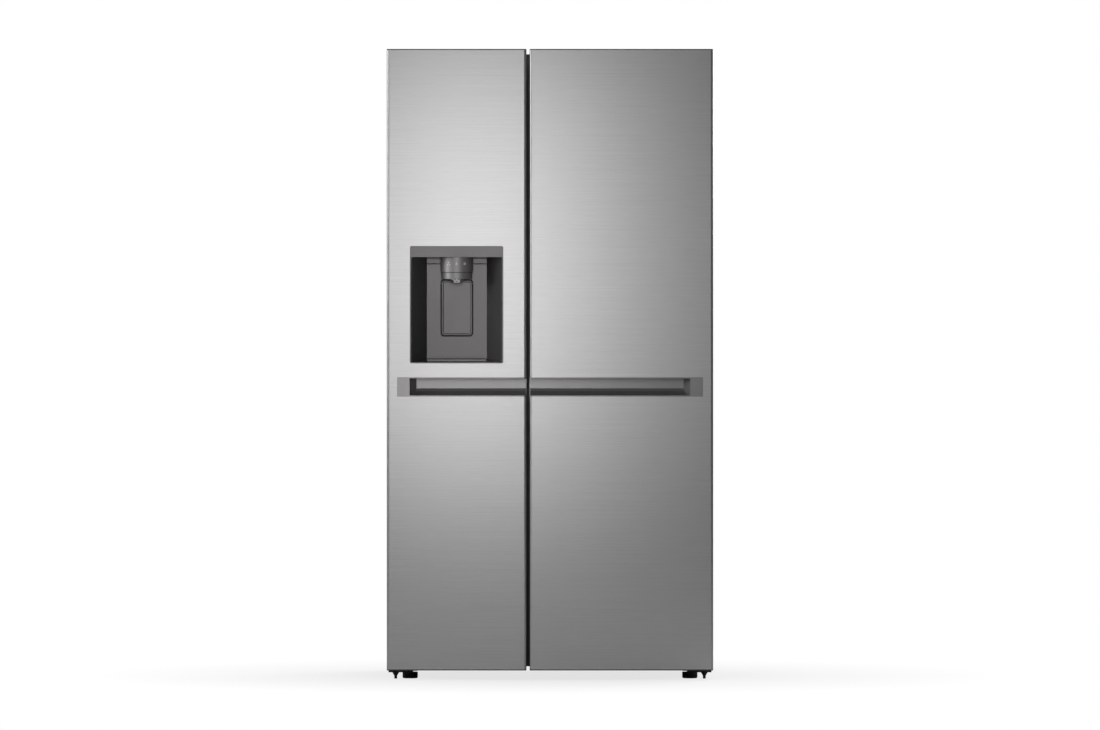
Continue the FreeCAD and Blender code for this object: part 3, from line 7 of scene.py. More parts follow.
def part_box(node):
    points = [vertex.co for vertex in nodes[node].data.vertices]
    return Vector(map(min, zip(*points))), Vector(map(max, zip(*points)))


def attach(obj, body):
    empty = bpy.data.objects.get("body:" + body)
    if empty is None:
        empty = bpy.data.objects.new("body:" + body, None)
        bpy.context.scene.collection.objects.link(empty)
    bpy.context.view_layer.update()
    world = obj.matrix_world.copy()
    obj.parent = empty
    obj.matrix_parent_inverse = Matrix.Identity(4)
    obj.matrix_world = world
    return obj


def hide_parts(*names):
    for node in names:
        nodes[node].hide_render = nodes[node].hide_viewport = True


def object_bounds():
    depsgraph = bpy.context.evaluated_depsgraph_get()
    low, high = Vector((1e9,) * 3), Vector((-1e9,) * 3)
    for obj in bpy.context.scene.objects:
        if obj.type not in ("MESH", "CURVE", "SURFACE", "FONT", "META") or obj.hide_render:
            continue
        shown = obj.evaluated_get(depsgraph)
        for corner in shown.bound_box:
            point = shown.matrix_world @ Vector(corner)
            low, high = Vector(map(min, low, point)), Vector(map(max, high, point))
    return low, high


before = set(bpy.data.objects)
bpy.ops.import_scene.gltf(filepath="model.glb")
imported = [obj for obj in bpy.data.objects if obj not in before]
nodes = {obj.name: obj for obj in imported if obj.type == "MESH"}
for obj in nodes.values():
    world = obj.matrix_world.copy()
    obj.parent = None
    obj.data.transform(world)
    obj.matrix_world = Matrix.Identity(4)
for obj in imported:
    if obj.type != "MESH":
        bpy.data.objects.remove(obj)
cad_box = [list(corner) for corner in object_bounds()]

# Camera: level, far off and square to the doors, so that their sides don't show.
DOOR_FACE_Y = cad_box[0][1]
CAMERA_DISTANCE = 22.0
CAMERA_HEIGHT = 0.8813
VIEW_WIDTH = 3.0756      # metres across the image at the door faces
SENSOR_WIDTH = 36.0
camera = bpy.data.objects.new("camera", bpy.data.cameras.new("camera"))
bpy.context.collection.objects.link(camera)
camera.location = (0.0, DOOR_FACE_Y - CAMERA_DISTANCE, CAMERA_HEIGHT)
camera.rotation_euler = (math.radians(90), 0, 0)
camera.data.sensor_width = SENSOR_WIDTH
camera.data.lens = SENSOR_WIDTH * CAMERA_DISTANCE / VIEW_WIDTH
camera.data.clip_end = 100.0
scene = bpy.context.scene
scene.camera = camera
scene.view_settings.view_transform = "Standard"


# ---- Outer panels: steel sheet with a baked textured grey paint, folded and screwed to the base.
# The fine orange-peel of the paint breaks up its satin gloss.

def linear(code):
    """An sRGB hex colour as linear RGBA."""
    channels = [int(code[k:k + 2], 16) / 255 for k in (1, 3, 5)]
    return [c / 12.92 if c <= 0.04045 else ((c + 0.055) / 1.055) ** 2.4 for c in channels] + [1.0]


def add(tree, kind, values=None, links=None, **settings):
    """Add a node, set its properties and sockets, and link other nodes' outputs to it."""
    node = tree.nodes.new(kind)
    for name, value in settings.items():
        setattr(node, name, value)
    for socket, value in (values or {}).items():
        node.inputs[socket].default_value = value
    for socket, output in (links or {}).items():
        tree.links.new(output, node.inputs[socket])
    return node


def start_material(name):
    """A new material's node tree, its shader and its Object coordinates."""
    material = bpy.data.materials.new(name)
    material.use_nodes = True
    tree = material.node_tree
    shader = tree.nodes["Principled BSDF"]
    place = add(tree, "ShaderNodeTexCoord").outputs["Object"]
    return material, tree, shader, place


def two_tones(tree, factor, dark, light, low=0.3, high=0.7):
    """A ramp between two sRGB tones of one finish."""
    ramp = add(tree, "ShaderNodeValToRGB", links={"Fac": factor})
    ramp.color_ramp.elements[0].position = low
    ramp.color_ramp.elements[1].position = high
    ramp.color_ramp.elements[0].color = linear(dark)
    ramp.color_ramp.elements[1].color = linear(light)
    return ramp.outputs["Color"]


def relief(tree, height, depth, edge=0.0):
    """A bump of a depth in metres, over edges rounded by a radius in metres."""
    bump = add(tree, "ShaderNodeBump", {"Strength": 1.0, "Distance": depth}, {"Height": height})
    if edge:
        soft = add(tree, "ShaderNodeBevel", {"Radius": edge}, samples=4)
        tree.links.new(soft.outputs["Normal"], bump.inputs["Normal"])
    return bump.outputs["Normal"]


def spread(tree, factor, low, high):
    """A 0 to 1 factor spread over a range of roughness."""
    place = add(tree, "ShaderNodeMapRange", {"To Min": low, "To Max": high}, {"Value": factor})
    return place.outputs["Result"]


def coated(name, dark, light, rough, grain, depth, edge=0.0, metallic=0.0, patch=0.06):
    """Paint or moulded plastic: a broad tone shift, a fine grain, and gloss that varies with it."""
    material, tree, shader, place = start_material(name)
    broad = add(tree, "ShaderNodeTexNoise", {"Scale": 1 / patch, "Detail": 3.0}, {"Vector": place})
    fine = add(tree, "ShaderNodeTexNoise", {"Scale": 1 / grain, "Detail": 4.0}, {"Vector": place})
    mixed = add(tree, "ShaderNodeMath", {1: 0.35}, {0: fine.outputs["Fac"]}, operation="MULTIPLY")
    tone = add(tree, "ShaderNodeMath", {}, {0: broad.outputs["Fac"], 1: mixed.outputs[0]}, operation="ADD")
    colour = two_tones(tree, tone.outputs[0], dark, light, 0.45, 0.9)
    tree.links.new(colour, shader.inputs["Base Color"])
    tree.links.new(spread(tree, fine.outputs["Fac"], rough - 0.05, rough + 0.07), shader.inputs["Roughness"])
    tree.links.new(relief(tree, fine.outputs["Fac"], depth, edge), shader.inputs["Normal"])
    shader.inputs["Metallic"].default_value = metallic
    return material


def finish_nodes(material, *names):
    """Give CAD nodes their real finish."""
    for name in names:
        mesh = nodes[name].data
        mesh.materials.clear()
        mesh.materials.append(material)


# Powder-coated steel: satin, with a peel of about 1.5 mm.
case_paint = coated("powder_coated_grey_steel", "#606163", "#6B6C6E", 0.45, 0.0015, 0.00008, 0.0008)
finish_nodes(case_paint, "outer_wrapper", "front_frame")


# ---- Rear sheet, base frame, motors and hinges: hot-dip galvanised steel.
# Zinc freezes in flat spangles about 8 mm across, each with its own sheen.

def galvanised_steel():
    material, tree, shader, place = start_material("galvanised_steel")
    spangle = add(tree, "ShaderNodeTexVoronoi", {"Scale": 1 / 0.008}, {"Vector": place})
    grey = add(tree, "ShaderNodeSeparateColor", links={"Color": spangle.outputs["Color"]})
    colour = two_tones(tree, grey.outputs[0], "#8B8E90", "#A9ACAE", 0.0, 1.0)
    tree.links.new(colour, shader.inputs["Base Color"])
    tree.links.new(spread(tree, grey.outputs[1], 0.35, 0.5), shader.inputs["Roughness"])
    tree.links.new(relief(tree, grey.outputs[2], 0.00001, 0.0005), shader.inputs["Normal"])
    shader.inputs["Metallic"].default_value = 0.9
    return material


galvanised = galvanised_steel()
finish_nodes(galvanised, "rear_covers", "base_frame", "fan_motors", "top_hinges")


def piece(name, mesh_maker, material, body):
    """Make a bmesh into an object with a material, riding on a body."""
    mesh = bpy.data.meshes.new(name)
    mesh_maker.to_mesh(mesh)
    mesh_maker.free()
    made = bpy.data.objects.new(name, mesh)
    bpy.context.collection.objects.link(made)
    mesh.materials.append(material)
    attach(made, body)
    return made


def soft_block(shape, low, high, radius, segments=3):
    """Add a box with rounded edges between two corners to a bmesh."""
    low, high = Vector(low), Vector(high)
    made = bmesh.ops.create_cube(shape, size=1.0)["verts"]
    bmesh.ops.scale(shape, vec=high - low, verts=made)
    bmesh.ops.translate(shape, vec=(low + high) / 2, verts=made)
    edges = list({edge for vert in made for edge in vert.link_edges})
    bmesh.ops.bevel(shape, geom=edges, offset=radius, segments=segments, profile=0.5,
                    affect="EDGES", material=-1)


# ---- Screws: zinc-plated pan heads with a cross recess.
# They hold the louvred cover along its edges and each hinge cover.

SCREW_RADIUS = 0.004
SCREW_HEIGHT = 0.0022


def pan_head(shape, place, turn):
    """Add a domed screw head that stands on a surface, facing +Z before its turn."""
    made = bmesh.ops.create_cone(shape, cap_ends=True, segments=24, radius1=SCREW_RADIUS,
                                 radius2=SCREW_RADIUS * 0.75, depth=SCREW_HEIGHT)["verts"]
    bmesh.ops.translate(shape, vec=(0, 0, SCREW_HEIGHT / 2), verts=made)
    top = max({face for vert in made for face in vert.link_faces}, key=lambda f: f.calc_center_median().z)
    inner = bmesh.ops.inset_region(shape, faces=[top], thickness=SCREW_RADIUS * 0.3, depth=0)
    bmesh.ops.translate(shape, vec=(0, 0, -SCREW_HEIGHT * 0.5), verts=top.verts)
    made = list(set(made) | set(top.verts) | {v for f in inner["faces"] for v in f.verts})
    for arm in ((1.0, 0.22), (0.22, 1.0)):
        bar = bmesh.ops.create_cube(shape, size=1.0)["verts"]
        bmesh.ops.scale(shape, verts=bar, vec=(arm[0] * SCREW_RADIUS * 0.9, arm[1] * SCREW_RADIUS * 0.9,
                                               SCREW_HEIGHT * 0.2))
        bmesh.ops.translate(shape, verts=bar, vec=(0, 0, SCREW_HEIGHT * 0.55))
        made += bar
    bmesh.ops.transform(shape, matrix=Matrix.Translation(place) @ turn, verts=made)


def screws(name, places, turn, body):
    shape = bmesh.new()
    for place in places:
        pan_head(shape, place, turn)
    return piece(name, shape, galvanised, body)


rear_low, rear_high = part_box("rear_covers")
COVER_TOP = 0.26
COVER_FOOT = 0.064
SINK = SCREW_HEIGHT
inward = Matrix.Rotation(math.radians(-90), 4, "X")
cover_screws = [(x * 0.12, rear_high.y - SINK, COVER_TOP - 0.012) for x in range(-3, 4)]
cover_screws += [(side * 0.44, rear_high.y - SINK, COVER_FOOT + 0.05 + k * 0.06)
                 for side in (-1, 1) for k in range(3)]
screws("cover_screws", cover_screws, inward, "cabinet")


# ---- Foam: rigid polyurethane foamed in place between the panels; a pale yellow cellular body.

def rigid_foam():
    material, tree, shader, place = start_material("foamed_polyurethane")
    cells = add(tree, "ShaderNodeTexVoronoi", {"Scale": 1 / 0.002}, {"Vector": place})
    colour = two_tones(tree, cells.outputs["Distance"], "#D9CC9A", "#EFE6C2", 0.0, 0.8)
    tree.links.new(colour, shader.inputs["Base Color"])
    tree.links.new(relief(tree, cells.outputs["Distance"], 0.0003), shader.inputs["Normal"])
    shader.inputs["Roughness"].default_value = 0.9
    return material


finish_nodes(rigid_foam(), "cabinet_insulation", "freezer_door_foam", "fridge_door_foam")


# ---- Liners and white mouldings: high-impact polystyrene sheet, vacuum formed and glossy.
# Forming leaves a faint waviness a few centimetres across.

liner_plastic = coated("vacuum_formed_polystyrene", "#E2E5E6", "#EDEFEF", 0.3, 0.004, 0.00004, 0.0015)
finish_nodes(liner_plastic, "freezer_liner", "fridge_liner", "freezer_door_liner", "fridge_door_liner",
             "evaporator_cover", "fridge_air_duct", "drawer_runners", "dairy_compartment")
light_moulding = coated("moulded_light_grey_polystyrene", "#C4C7C9", "#D2D5D6", 0.42, 0.0012, 0.00006, 0.001)
finish_nodes(light_moulding, "control_box", "ice_maker", "ice_bin_carrier", "water_valve", "ice_chute",
             "chute_flap")


# ---- Black parts: feet, rollers, fans and tray are glass-filled nylon; the hinge plates and the
# compressor are stoved black paint; the mounts are moulded rubber.

black_nylon = coated("moulded_black_nylon", "#17181A", "#222327", 0.5, 0.001, 0.00006, 0.0008)
finish_nodes(black_nylon, "levelling_foot_left", "levelling_foot_right", "rear_roller_left",
             "rear_roller_right", "condenser_fan", "evaporator_fan", "evaporating_tray")
black_paint = coated("stoved_black_paint", "#141519", "#1F2024", 0.38, 0.002, 0.00005, 0.0008, 0.3)
finish_nodes(black_paint, "bottom_hinges", "compressor", "condenser")
rubber = coated("moulded_rubber", "#101010", "#1A1A1A", 0.75, 0.0008, 0.0001)
finish_nodes(rubber, "compressor_mounts")


# ---- Evaporator and auger: drawn aluminium, with fine die lines along it.

def drawn_aluminium():
    material, tree, shader, place = start_material("drawn_aluminium")
    stretch = add(tree, "ShaderNodeMapping", {"Scale": (20.0, 1500.0, 20.0)}, {"Vector": place})
    lines = add(tree, "ShaderNodeTexNoise", {"Scale": 1.0, "Detail": 3.0}, {"Vector": stretch.outputs[0]})
    colour = two_tones(tree, lines.outputs["Fac"], "#B6B8BA", "#CDCFD0")
    tree.links.new(colour, shader.inputs["Base Color"])
    tree.links.new(spread(tree, lines.outputs["Fac"], 0.25, 0.4), shader.inputs["Roughness"])
    tree.links.new(relief(tree, lines.outputs["Fac"], 0.00001, 0.0003), shader.inputs["Normal"])
    shader.inputs["Metallic"].default_value = 1.0
    return material


finish_nodes(drawn_aluminium(), "evaporator", "ice_auger")


# ---- Shelves: toughened glass panes with a moulded front trim; the freezer's are coated wire.

def clear(name, tint, rough, ior):
    """A clear pane or moulding, with a faint haze that varies over it."""
    material, tree, shader, place = start_material(name)
    haze = add(tree, "ShaderNodeTexNoise", {"Scale": 12.0, "Detail": 4.0}, {"Vector": place})
    colour = two_tones(tree, haze.outputs["Fac"], tint[0], tint[1])
    tree.links.new(colour, shader.inputs["Base Color"])
    tree.links.new(spread(tree, haze.outputs["Fac"], rough, rough + 0.06), shader.inputs["Roughness"])
    shader.inputs["Transmission Weight"].default_value = 0.92
    shader.inputs["IOR"].default_value = ior
    return material


shelf_glass = clear("float_glass", ("#D4EAE2", "#E2F3EC"), 0.01, 1.5)
finish_nodes(shelf_glass, "fridge_shelves", "crisper_cover")
coated_wire = coated("epoxy_coated_wire", "#DDDFE0", "#EBEDED", 0.28, 0.003, 0.00004)
finish_nodes(coated_wire, "freezer_shelves")

shelf_low, shelf_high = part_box("fridge_shelves")
cover_low, cover_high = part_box("crisper_cover")
TRIM_DEPTH = 0.0124
TRIM_OVER = 0.0004
TRIM_RISE = 0.016
shape = bmesh.new()
shelf_step = (shelf_high.z - TRIM_RISE - shelf_low.z) / 2
trim_feet = [cover_low.z] + [shelf_low.z + k * shelf_step for k in range(3)]
for foot in trim_feet:
    soft_block(shape, (shelf_low.x + 0.001, shelf_low.y - TRIM_OVER, foot - TRIM_OVER),
               (shelf_high.x - 0.001, shelf_low.y + TRIM_DEPTH, foot + TRIM_RISE + TRIM_OVER), 0.0035)
piece("shelf_trims", shape, light_moulding, "cabinet")


# ---- Shelf ledges: ribs moulded into the cavity walls, one under each end of a shelf.

fridge_low, fridge_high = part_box("fridge_liner")
freezer_low, freezer_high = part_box("freezer_liner")
wire_low, wire_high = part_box("freezer_shelves")
LINER = 0.0015
LEDGE_WIDTH = 0.01
LEDGE_HEIGHT = 0.012
shape = bmesh.new()
for low, high, tops in ((fridge_low, fridge_high, [foot + 0.008 for foot in trim_feet]),
                        (freezer_low, freezer_high, [wire_low.z, wire_high.z - 0.01])):
    for top in tops:
        for wall, side in ((low.x + LINER, 1), (high.x - LINER, -1)):
            ends = sorted((wall, wall + side * LEDGE_WIDTH))
            soft_block(shape, (ends[0], -0.13, top - LEDGE_HEIGHT), (ends[1], 0.22, top - 0.0002), 0.003)
piece("shelf_ledges", shape, liner_plastic, "cabinet")


# ---- Drawers, bins, ice bin and dairy lid: injection-moulded clear styrene acrylonitrile.
# Each bin and drawer has a white band along its front lip.

clear_moulding = clear("moulded_clear_styrene", ("#DCE8EE", "#EAF2F5"), 0.05, 1.57)
finish_nodes(clear_moulding, "freezer_drawer_lower", "freezer_drawer_upper", "crisper_drawer_lower",
             "crisper_drawer_upper", "ice_bin", "freezer_door_bins", "fridge_door_bins", "dairy_lid")

BAND_HEIGHT = 0.022
BAND_THICK = 0.0026
for name, body in (("freezer_drawer_lower", "freezer_drawer_1"), ("freezer_drawer_upper", "freezer_drawer_2"),
                   ("crisper_drawer_lower", "crisper_1"), ("crisper_drawer_upper", "crisper_2")):
    low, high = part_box(name)
    lip = 0.012
    inset = 0.03
    shape = bmesh.new()
    soft_block(shape, (low.x + inset, low.y + lip - BAND_THICK, high.z - 0.004 - BAND_HEIGHT),
               (high.x - inset, low.y + lip + 0.0002, high.z - 0.0045), 0.0012)
    soft_block(shape, (low.x + 0.09, low.y - 0.0015, high.z - 0.0055),
               (high.x - 0.09, low.y + lip - 0.001, high.z + 0.0012), 0.0012)
    piece(name + "_band", shape, light_moulding, body)


def bin_bands(name, spans, bottoms, body):
    """A band along the front lip of each door bin."""
    low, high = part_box(name)
    bin_height = 0.1
    shape = bmesh.new()
    for (left, right), bottom in zip(spans, bottoms):
        top = bottom + bin_height
        soft_block(shape, (left + 0.009, high.y - 0.0004, top - 0.02),
                   (right - 0.009, high.y + 0.0022, top + 0.001), 0.0011)
    piece(name + "_bands", shape, light_moulding, body)


low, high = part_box("freezer_door_bins")
middle = (low.x + high.x) / 2
bin_bands("freezer_door_bins", [(low.x, high.x)] * 3 + [(middle, high.x)], (1.54, 0.72, 0.53, 0.2), "freezer_door")
low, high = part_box("fridge_door_bins")
middle = (low.x + high.x) / 2
bin_bands("fridge_door_bins", [(low.x, high.x)] * 3 + [(low.x, middle)], (1.23, 0.9, 0.56, 0.2), "fridge_door")


# ---- Lamp lens: frosted acrylic let into the front of the control box.

frosted = clear("frosted_acrylic", ("#F4F5F2", "#FBFCFA"), 0.45, 1.49)
low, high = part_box("control_box")
shape = bmesh.new()
soft_block(shape, (low.x + 0.03, low.y + 0.02, low.z - 0.004), (high.x - 0.03, high.y - 0.03, low.z + 0.001), 0.0018)
piece("lamp_lens", shape, frosted, "cabinet")


# ---- Gaskets: extruded flexible vinyl with a magnet inside, pressed into the door liner.

vinyl = coated("extruded_grey_vinyl", "#4A4B4D", "#58595B", 0.55, 0.002, 0.00005, 0.002)
finish_nodes(vinyl, "freezer_door_gasket", "fridge_door_gasket")


# ---- Door skins: ferritic stainless steel, belt-brushed along the width of the door.
# The brushing leaves short bright and dark hairlines, drawn here about 1 mm apart so that they show.

def brushed_stainless():
    material, tree, shader, place = start_material("belt_brushed_stainless_steel")
    long_lines = add(tree, "ShaderNodeMapping", {"Scale": (3.0, 3.0, 900.0)}, {"Vector": place})
    short_lines = add(tree, "ShaderNodeMapping", {"Scale": (22.0, 22.0, 2400.0)}, {"Vector": place})
    slow = add(tree, "ShaderNodeTexNoise", {"Scale": 1.0, "Detail": 2.0}, {"Vector": long_lines.outputs[0]})
    fast = add(tree, "ShaderNodeTexNoise", {"Scale": 1.0, "Detail": 2.0}, {"Vector": short_lines.outputs[0]})
    both = add(tree, "ShaderNodeMath", {}, {0: slow.outputs["Fac"], 1: fast.outputs["Fac"]}, operation="ADD")
    half = add(tree, "ShaderNodeMath", {1: 0.5}, {0: both.outputs[0]}, operation="MULTIPLY")
    colour = two_tones(tree, half.outputs[0], "#C2C1C2", "#D6D5D6", 0.3, 0.7)
    tree.links.new(colour, shader.inputs["Base Color"])
    tree.links.new(spread(tree, half.outputs[0], 0.36, 0.44), shader.inputs["Roughness"])
    tree.links.new(relief(tree, half.outputs[0], 0.000012), shader.inputs["Normal"])
    shader.inputs["Metallic"].default_value = 1.0
    return material


stainless = brushed_stainless()
finish_nodes(stainless, "freezer_door_skin", "fridge_door_skin")


# ---- Door caps and hinge covers: moulded dark grey ABS with a fine spark-eroded grain.

dark_moulding = coated("moulded_dark_grey_abs", "#4A494A", "#565556", 0.45, 0.0009, 0.00006, 0.0008)
finish_nodes(dark_moulding, "freezer_door_caps", "fridge_door_caps", "hinge_covers")
cover_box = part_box("hinge_covers")
upright = Matrix.Identity(4)
hinge_screws = [(side * 0.40, -0.185, cover_box[1].z - 0.0004 - SCREW_HEIGHT) for side in (-1, 1)]
screws("hinge_cover_screws", hinge_screws, upright, "cabinet")


# ---- Handles and dispenser: ABS sprayed with a metallic grey lacquer to match the steel.
# The flake gives a soft sheen that follows the light as the doors do.

lacquer = coated("metallic_grey_lacquer", "#9E9C9D", "#A8A6A7", 0.38, 0.0006, 0.00002, 0.0009, 0.75, 0.2)
finish_nodes(lacquer, "freezer_door_handle", "fridge_door_handle")
satin_lacquer = coated("satin_metallic_grey_lacquer", "#A8A6A7", "#B2B0B1", 0.52, 0.0006, 0.00002, 0.0006, 0.8, 0.2)
finish_nodes(satin_lacquer, "dispenser_turret")
# The dispenser's lacquer is darker partly by its own tone and partly as painted shade: its colour is lowered to
# match the shaded back of the niche.
dark_and_shaded_lacquer = coated("metallic_dark_grey_lacquer_painted_shade", "#706E6F", "#7A7879", 0.4, 0.0006, 0.00002, 0.0009, 0.75, 0.2)
finish_nodes(dark_and_shaded_lacquer, "dispenser_housing")


# ---- Paddle: a lacquered plate with a bevelled rim, hung behind the turret; a glass pushes it back.

PADDLE_CORNER = 0.007
paddle_low, paddle_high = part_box("dispenser_paddle")
pin_length = 0.0065
shape = bmesh.new()
face_low = Vector((paddle_low.x + pin_length, paddle_low.y, paddle_low.z))
face_high = Vector((paddle_high.x - pin_length, paddle_low.y + 0.005, paddle_high.z))
made = bmesh.ops.create_cube(shape, size=1.0)["verts"]
bmesh.ops.scale(shape, vec=face_high - face_low, verts=made)
bmesh.ops.translate(shape, vec=(face_low + face_high) / 2, verts=made)
uprights = [e for e in shape.edges if abs((e.verts[0].co - e.verts[1].co).normalized().y) > 0.9]
bmesh.ops.bevel(shape, geom=uprights, offset=PADDLE_CORNER, segments=8, profile=0.5, affect="EDGES", material=-1)
front = [f for f in shape.faces if f.normal.y < -0.9]
bmesh.ops.inset_region(shape, faces=front, thickness=0.0028, depth=0.0)
front = [f for f in shape.faces if f.normal.y < -0.9 and f.calc_area() > 0.008]
bmesh.ops.inset_region(shape, faces=front, thickness=0.0022, depth=-0.0016)
turn = Matrix.Rotation(math.radians(90), 4, "Y")
pin = bmesh.ops.create_cone(shape, cap_ends=True, segments=32, radius1=0.0025, radius2=0.0025,
                            depth=paddle_high.x - paddle_low.x, matrix=turn)["verts"]
axis = Vector(((paddle_low.x + paddle_high.x) / 2, paddle_low.y + 0.009, paddle_high.z - 0.008))
bmesh.ops.translate(shape, vec=axis, verts=pin)
knuckle = bmesh.ops.create_cone(shape, cap_ends=True, segments=32, radius1=0.0045, radius2=0.0045,
                                depth=face_high.x - face_low.x - 0.004, matrix=turn)["verts"]
bmesh.ops.translate(shape, vec=axis, verts=knuckle)
paddle = piece("paddle_plate", shape, dark_and_shaded_lacquer, "paddle")
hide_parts("dispenser_paddle")

# A black plate closes the bottom of the pocket as painted shade: it shows as the dark line round the paddle, where
# the deep pocket lies in shade.
POCKET_GAP = 0.004
POCKET_DEPTH = 0.017
pocket_floor = DOOR_FACE_Y + 0.072 + POCKET_DEPTH
shape = bmesh.new()
soft_block(shape, (face_low.x - POCKET_GAP + 0.0005, pocket_floor - 0.0004, paddle_low.z - POCKET_GAP + 0.0005),
           (face_high.x + POCKET_GAP - 0.0005, pocket_floor + 0.0006, paddle_high.z + POCKET_GAP - 0.0005), 0.0003)
piece("pocket_shade_plate", shape, black_nylon, "freezer_door")


# ---- Niche trim: a rail across the back of the niche behind the turret, and the drip tray's lip
# and slotted grille on the sill; all moulded and lacquered like the housing.

housing_low, housing_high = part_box("dispenser_housing")
centre_x = (housing_low.x + housing_high.x) / 2
NICHE_BACK = DOOR_FACE_Y + 0.072
NICHE_HALF = 0.084
rail_top = housing_high.z - 0.031
shape = bmesh.new()
soft_block(shape, (centre_x - NICHE_HALF - 0.001, NICHE_BACK - 0.006, rail_top - 0.017),
           (centre_x + NICHE_HALF + 0.001, NICHE_BACK + 0.001, rail_top - 0.002), 0.0012)
soft_block(shape, (centre_x - NICHE_HALF - 0.001, NICHE_BACK - 0.0045, rail_top - 0.0205),
           (centre_x + NICHE_HALF + 0.001, NICHE_BACK + 0.001, rail_top - 0.0175), 0.0008)
piece("niche_rail", shape, dark_and_shaded_lacquer, "freezer_door")
sill = housing_low.z + 0.003
shape = bmesh.new()
soft_block(shape, (centre_x - 0.083, DOOR_FACE_Y + 0.010, sill + 0.002),
           (centre_x + 0.083, DOOR_FACE_Y + 0.015, sill + 0.0085), 0.001)
for k in range(15):
    x = centre_x - 0.077 + k * 0.011
    soft_block(shape, (x - 0.0028, DOOR_FACE_Y + 0.014, sill + 0.0035),
               (x + 0.0028, NICHE_BACK - 0.004, sill + 0.0095), 0.0008, 2)
soft_block(shape, (centre_x - 0.083, NICHE_BACK - 0.009, sill + 0.0035),
           (centre_x + 0.083, NICHE_BACK - 0.004, sill + 0.0105), 0.001)
piece("drip_grille", shape, dark_and_shaded_lacquer, "freezer_door")


# ---- Turret: a black seam ring between the drum and the collar, which also paints the shadow line at the step there, and three touch signs on the drum.
# The signs are printed in light grey: crushed ice, a drop of water and an ice cube.

turret_low, turret_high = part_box("dispenser_turret")
TURRET_RADIUS = (turret_high.x - turret_low.x) / 2
turret_y = turret_low.y + TURRET_RADIUS
print_grey = coated("screen_printed_light_grey", "#DCDBDC", "#E8E7E8", 0.5, 0.0005, 0.00001)
SIGN_PROUD = 0.0002


def wrap(shape, verts, across, height):
    """Lay flat points (x, z) round the drum, centred at a distance across and a height."""
    for vert in verts:
        angle = (across + vert.co.x) / TURRET_RADIUS
        reach = TURRET_RADIUS + SIGN_PROUD
        vert.co = Vector((centre_x + reach * math.sin(angle), turret_y - reach * math.cos(angle),
                          height + vert.co.y))


def sign_square(shape, across, height, x, z, half):
    made = bmesh.ops.create_grid(shape, x_segments=2, y_segments=2, size=half)["verts"]
    bmesh.ops.translate(shape, vec=(x, z, 0), verts=made)
    wrap(shape, made, across, height)


def sign_drop(shape, across, height):
    made = bmesh.ops.create_circle(shape, cap_ends=True, segments=24, radius=0.0034)["verts"]
    for vert in made:
        if vert.co.y > 0.0:
            vert.co.x *= 1 - vert.co.y / 0.0044
            vert.co.y *= 1.9
    wrap(shape, made, across, height)


sign_height = turret_high.z - 0.0185
shape = bmesh.new()
for x, z in ((-0.0032, -0.0026), (0.003, -0.0028), (0.0, 0.003)):
    sign_square(shape, -0.0235, sign_height, x, z, 0.0021)
sign_drop(shape, 0.0, sign_height - 0.0008)
sign_square(shape, 0.0235, sign_height, 0.0, 0.0, 0.0036)
bmesh.ops.recalc_face_normals(shape, faces=shape.faces)
for face in shape.faces:
    if face.normal.dot(Vector((0, -1, 0))) < 0:
        face.normal_flip()
piece("touch_signs", shape, print_grey, "freezer_door")
# The seam ring is black partly as a joint and partly as painted shade: it stands in for the shadow of the step
# between drum and collar.
shape = bmesh.new()
seam_z = turret_high.z - 0.042
ring = bmesh.ops.create_circle(shape, cap_ends=False, segments=96, radius=TURRET_RADIUS - 0.0004)
bmesh.ops.translate(shape, vec=(centre_x, turret_y, seam_z + 0.0012), verts=ring["verts"])
up = bmesh.ops.extrude_edge_only(shape, edges=shape.edges[:])
bmesh.ops.translate(shape, vec=(0, 0, -0.0024), verts=[v for v in up["geom"] if isinstance(v, bmesh.types.BMVert)])
bmesh.ops.bisect_plane(shape, geom=shape.verts[:] + shape.edges[:] + shape.faces[:],
                       plane_co=(0, NICHE_BACK - 0.0005, 0), plane_no=(0, 1, 0), clear_outer=True)
bmesh.ops.recalc_face_normals(shape, faces=shape.faces)
bmesh.ops.solidify(shape, geom=shape.faces[:], thickness=0.0006)
piece("turret_seam_shade", shape, black_nylon, "freezer_door")


# ---- Nozzle: turned brass, nickel-chrome plated, with a rolled lip; water runs from its bore.

def bright_chrome():
    material, tree, shader, place = start_material("chrome_plated_brass")
    polish = add(tree, "ShaderNodeTexNoise", {"Scale": 400.0, "Detail": 3.0}, {"Vector": place})
    colour = two_tones(tree, polish.outputs["Fac"], "#E4E4E4", "#F4F4F4")
    tree.links.new(colour, shader.inputs["Base Color"])
    tree.links.new(spread(tree, polish.outputs["Fac"], 0.08, 0.16), shader.inputs["Roughness"])
    shader.inputs["Metallic"].default_value = 1.0
    return material


nozzle_low, nozzle_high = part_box("dispenser_nozzle")
nozzle_x = (nozzle_low.x + nozzle_high.x) / 2
nozzle_y = (nozzle_low.y + nozzle_high.y) / 2
R = (nozzle_high.x - nozzle_low.x) / 2
H = nozzle_high.z - nozzle_low.z
shape = bmesh.new()
profile = [(R * 0.28, 0.55), (R * 0.30, 0.02), (R * 0.55, 0.0), (R * 0.74, 0.06), (R * 0.84, 0.22),
           (R * 0.86, 0.5), (R * 0.93, 0.72), (R, 0.8), (R, 0.98), (R * 0.28, 0.98)]
line = [shape.verts.new((x, 0, z * H)) for x, z in profile]
edges = [shape.edges.new(pair) for pair in zip(line, line[1:] + line[:1])]
bmesh.ops.spin(shape, geom=line + edges, cent=(0, 0, 0), axis=(0, 0, 1), angle=math.tau, steps=64,
               use_merge=True)
bmesh.ops.remove_doubles(shape, verts=shape.verts, dist=0.00001)
bmesh.ops.recalc_face_normals(shape, faces=shape.faces)
bmesh.ops.translate(shape, vec=(nozzle_x, nozzle_y, nozzle_low.z), verts=shape.verts)
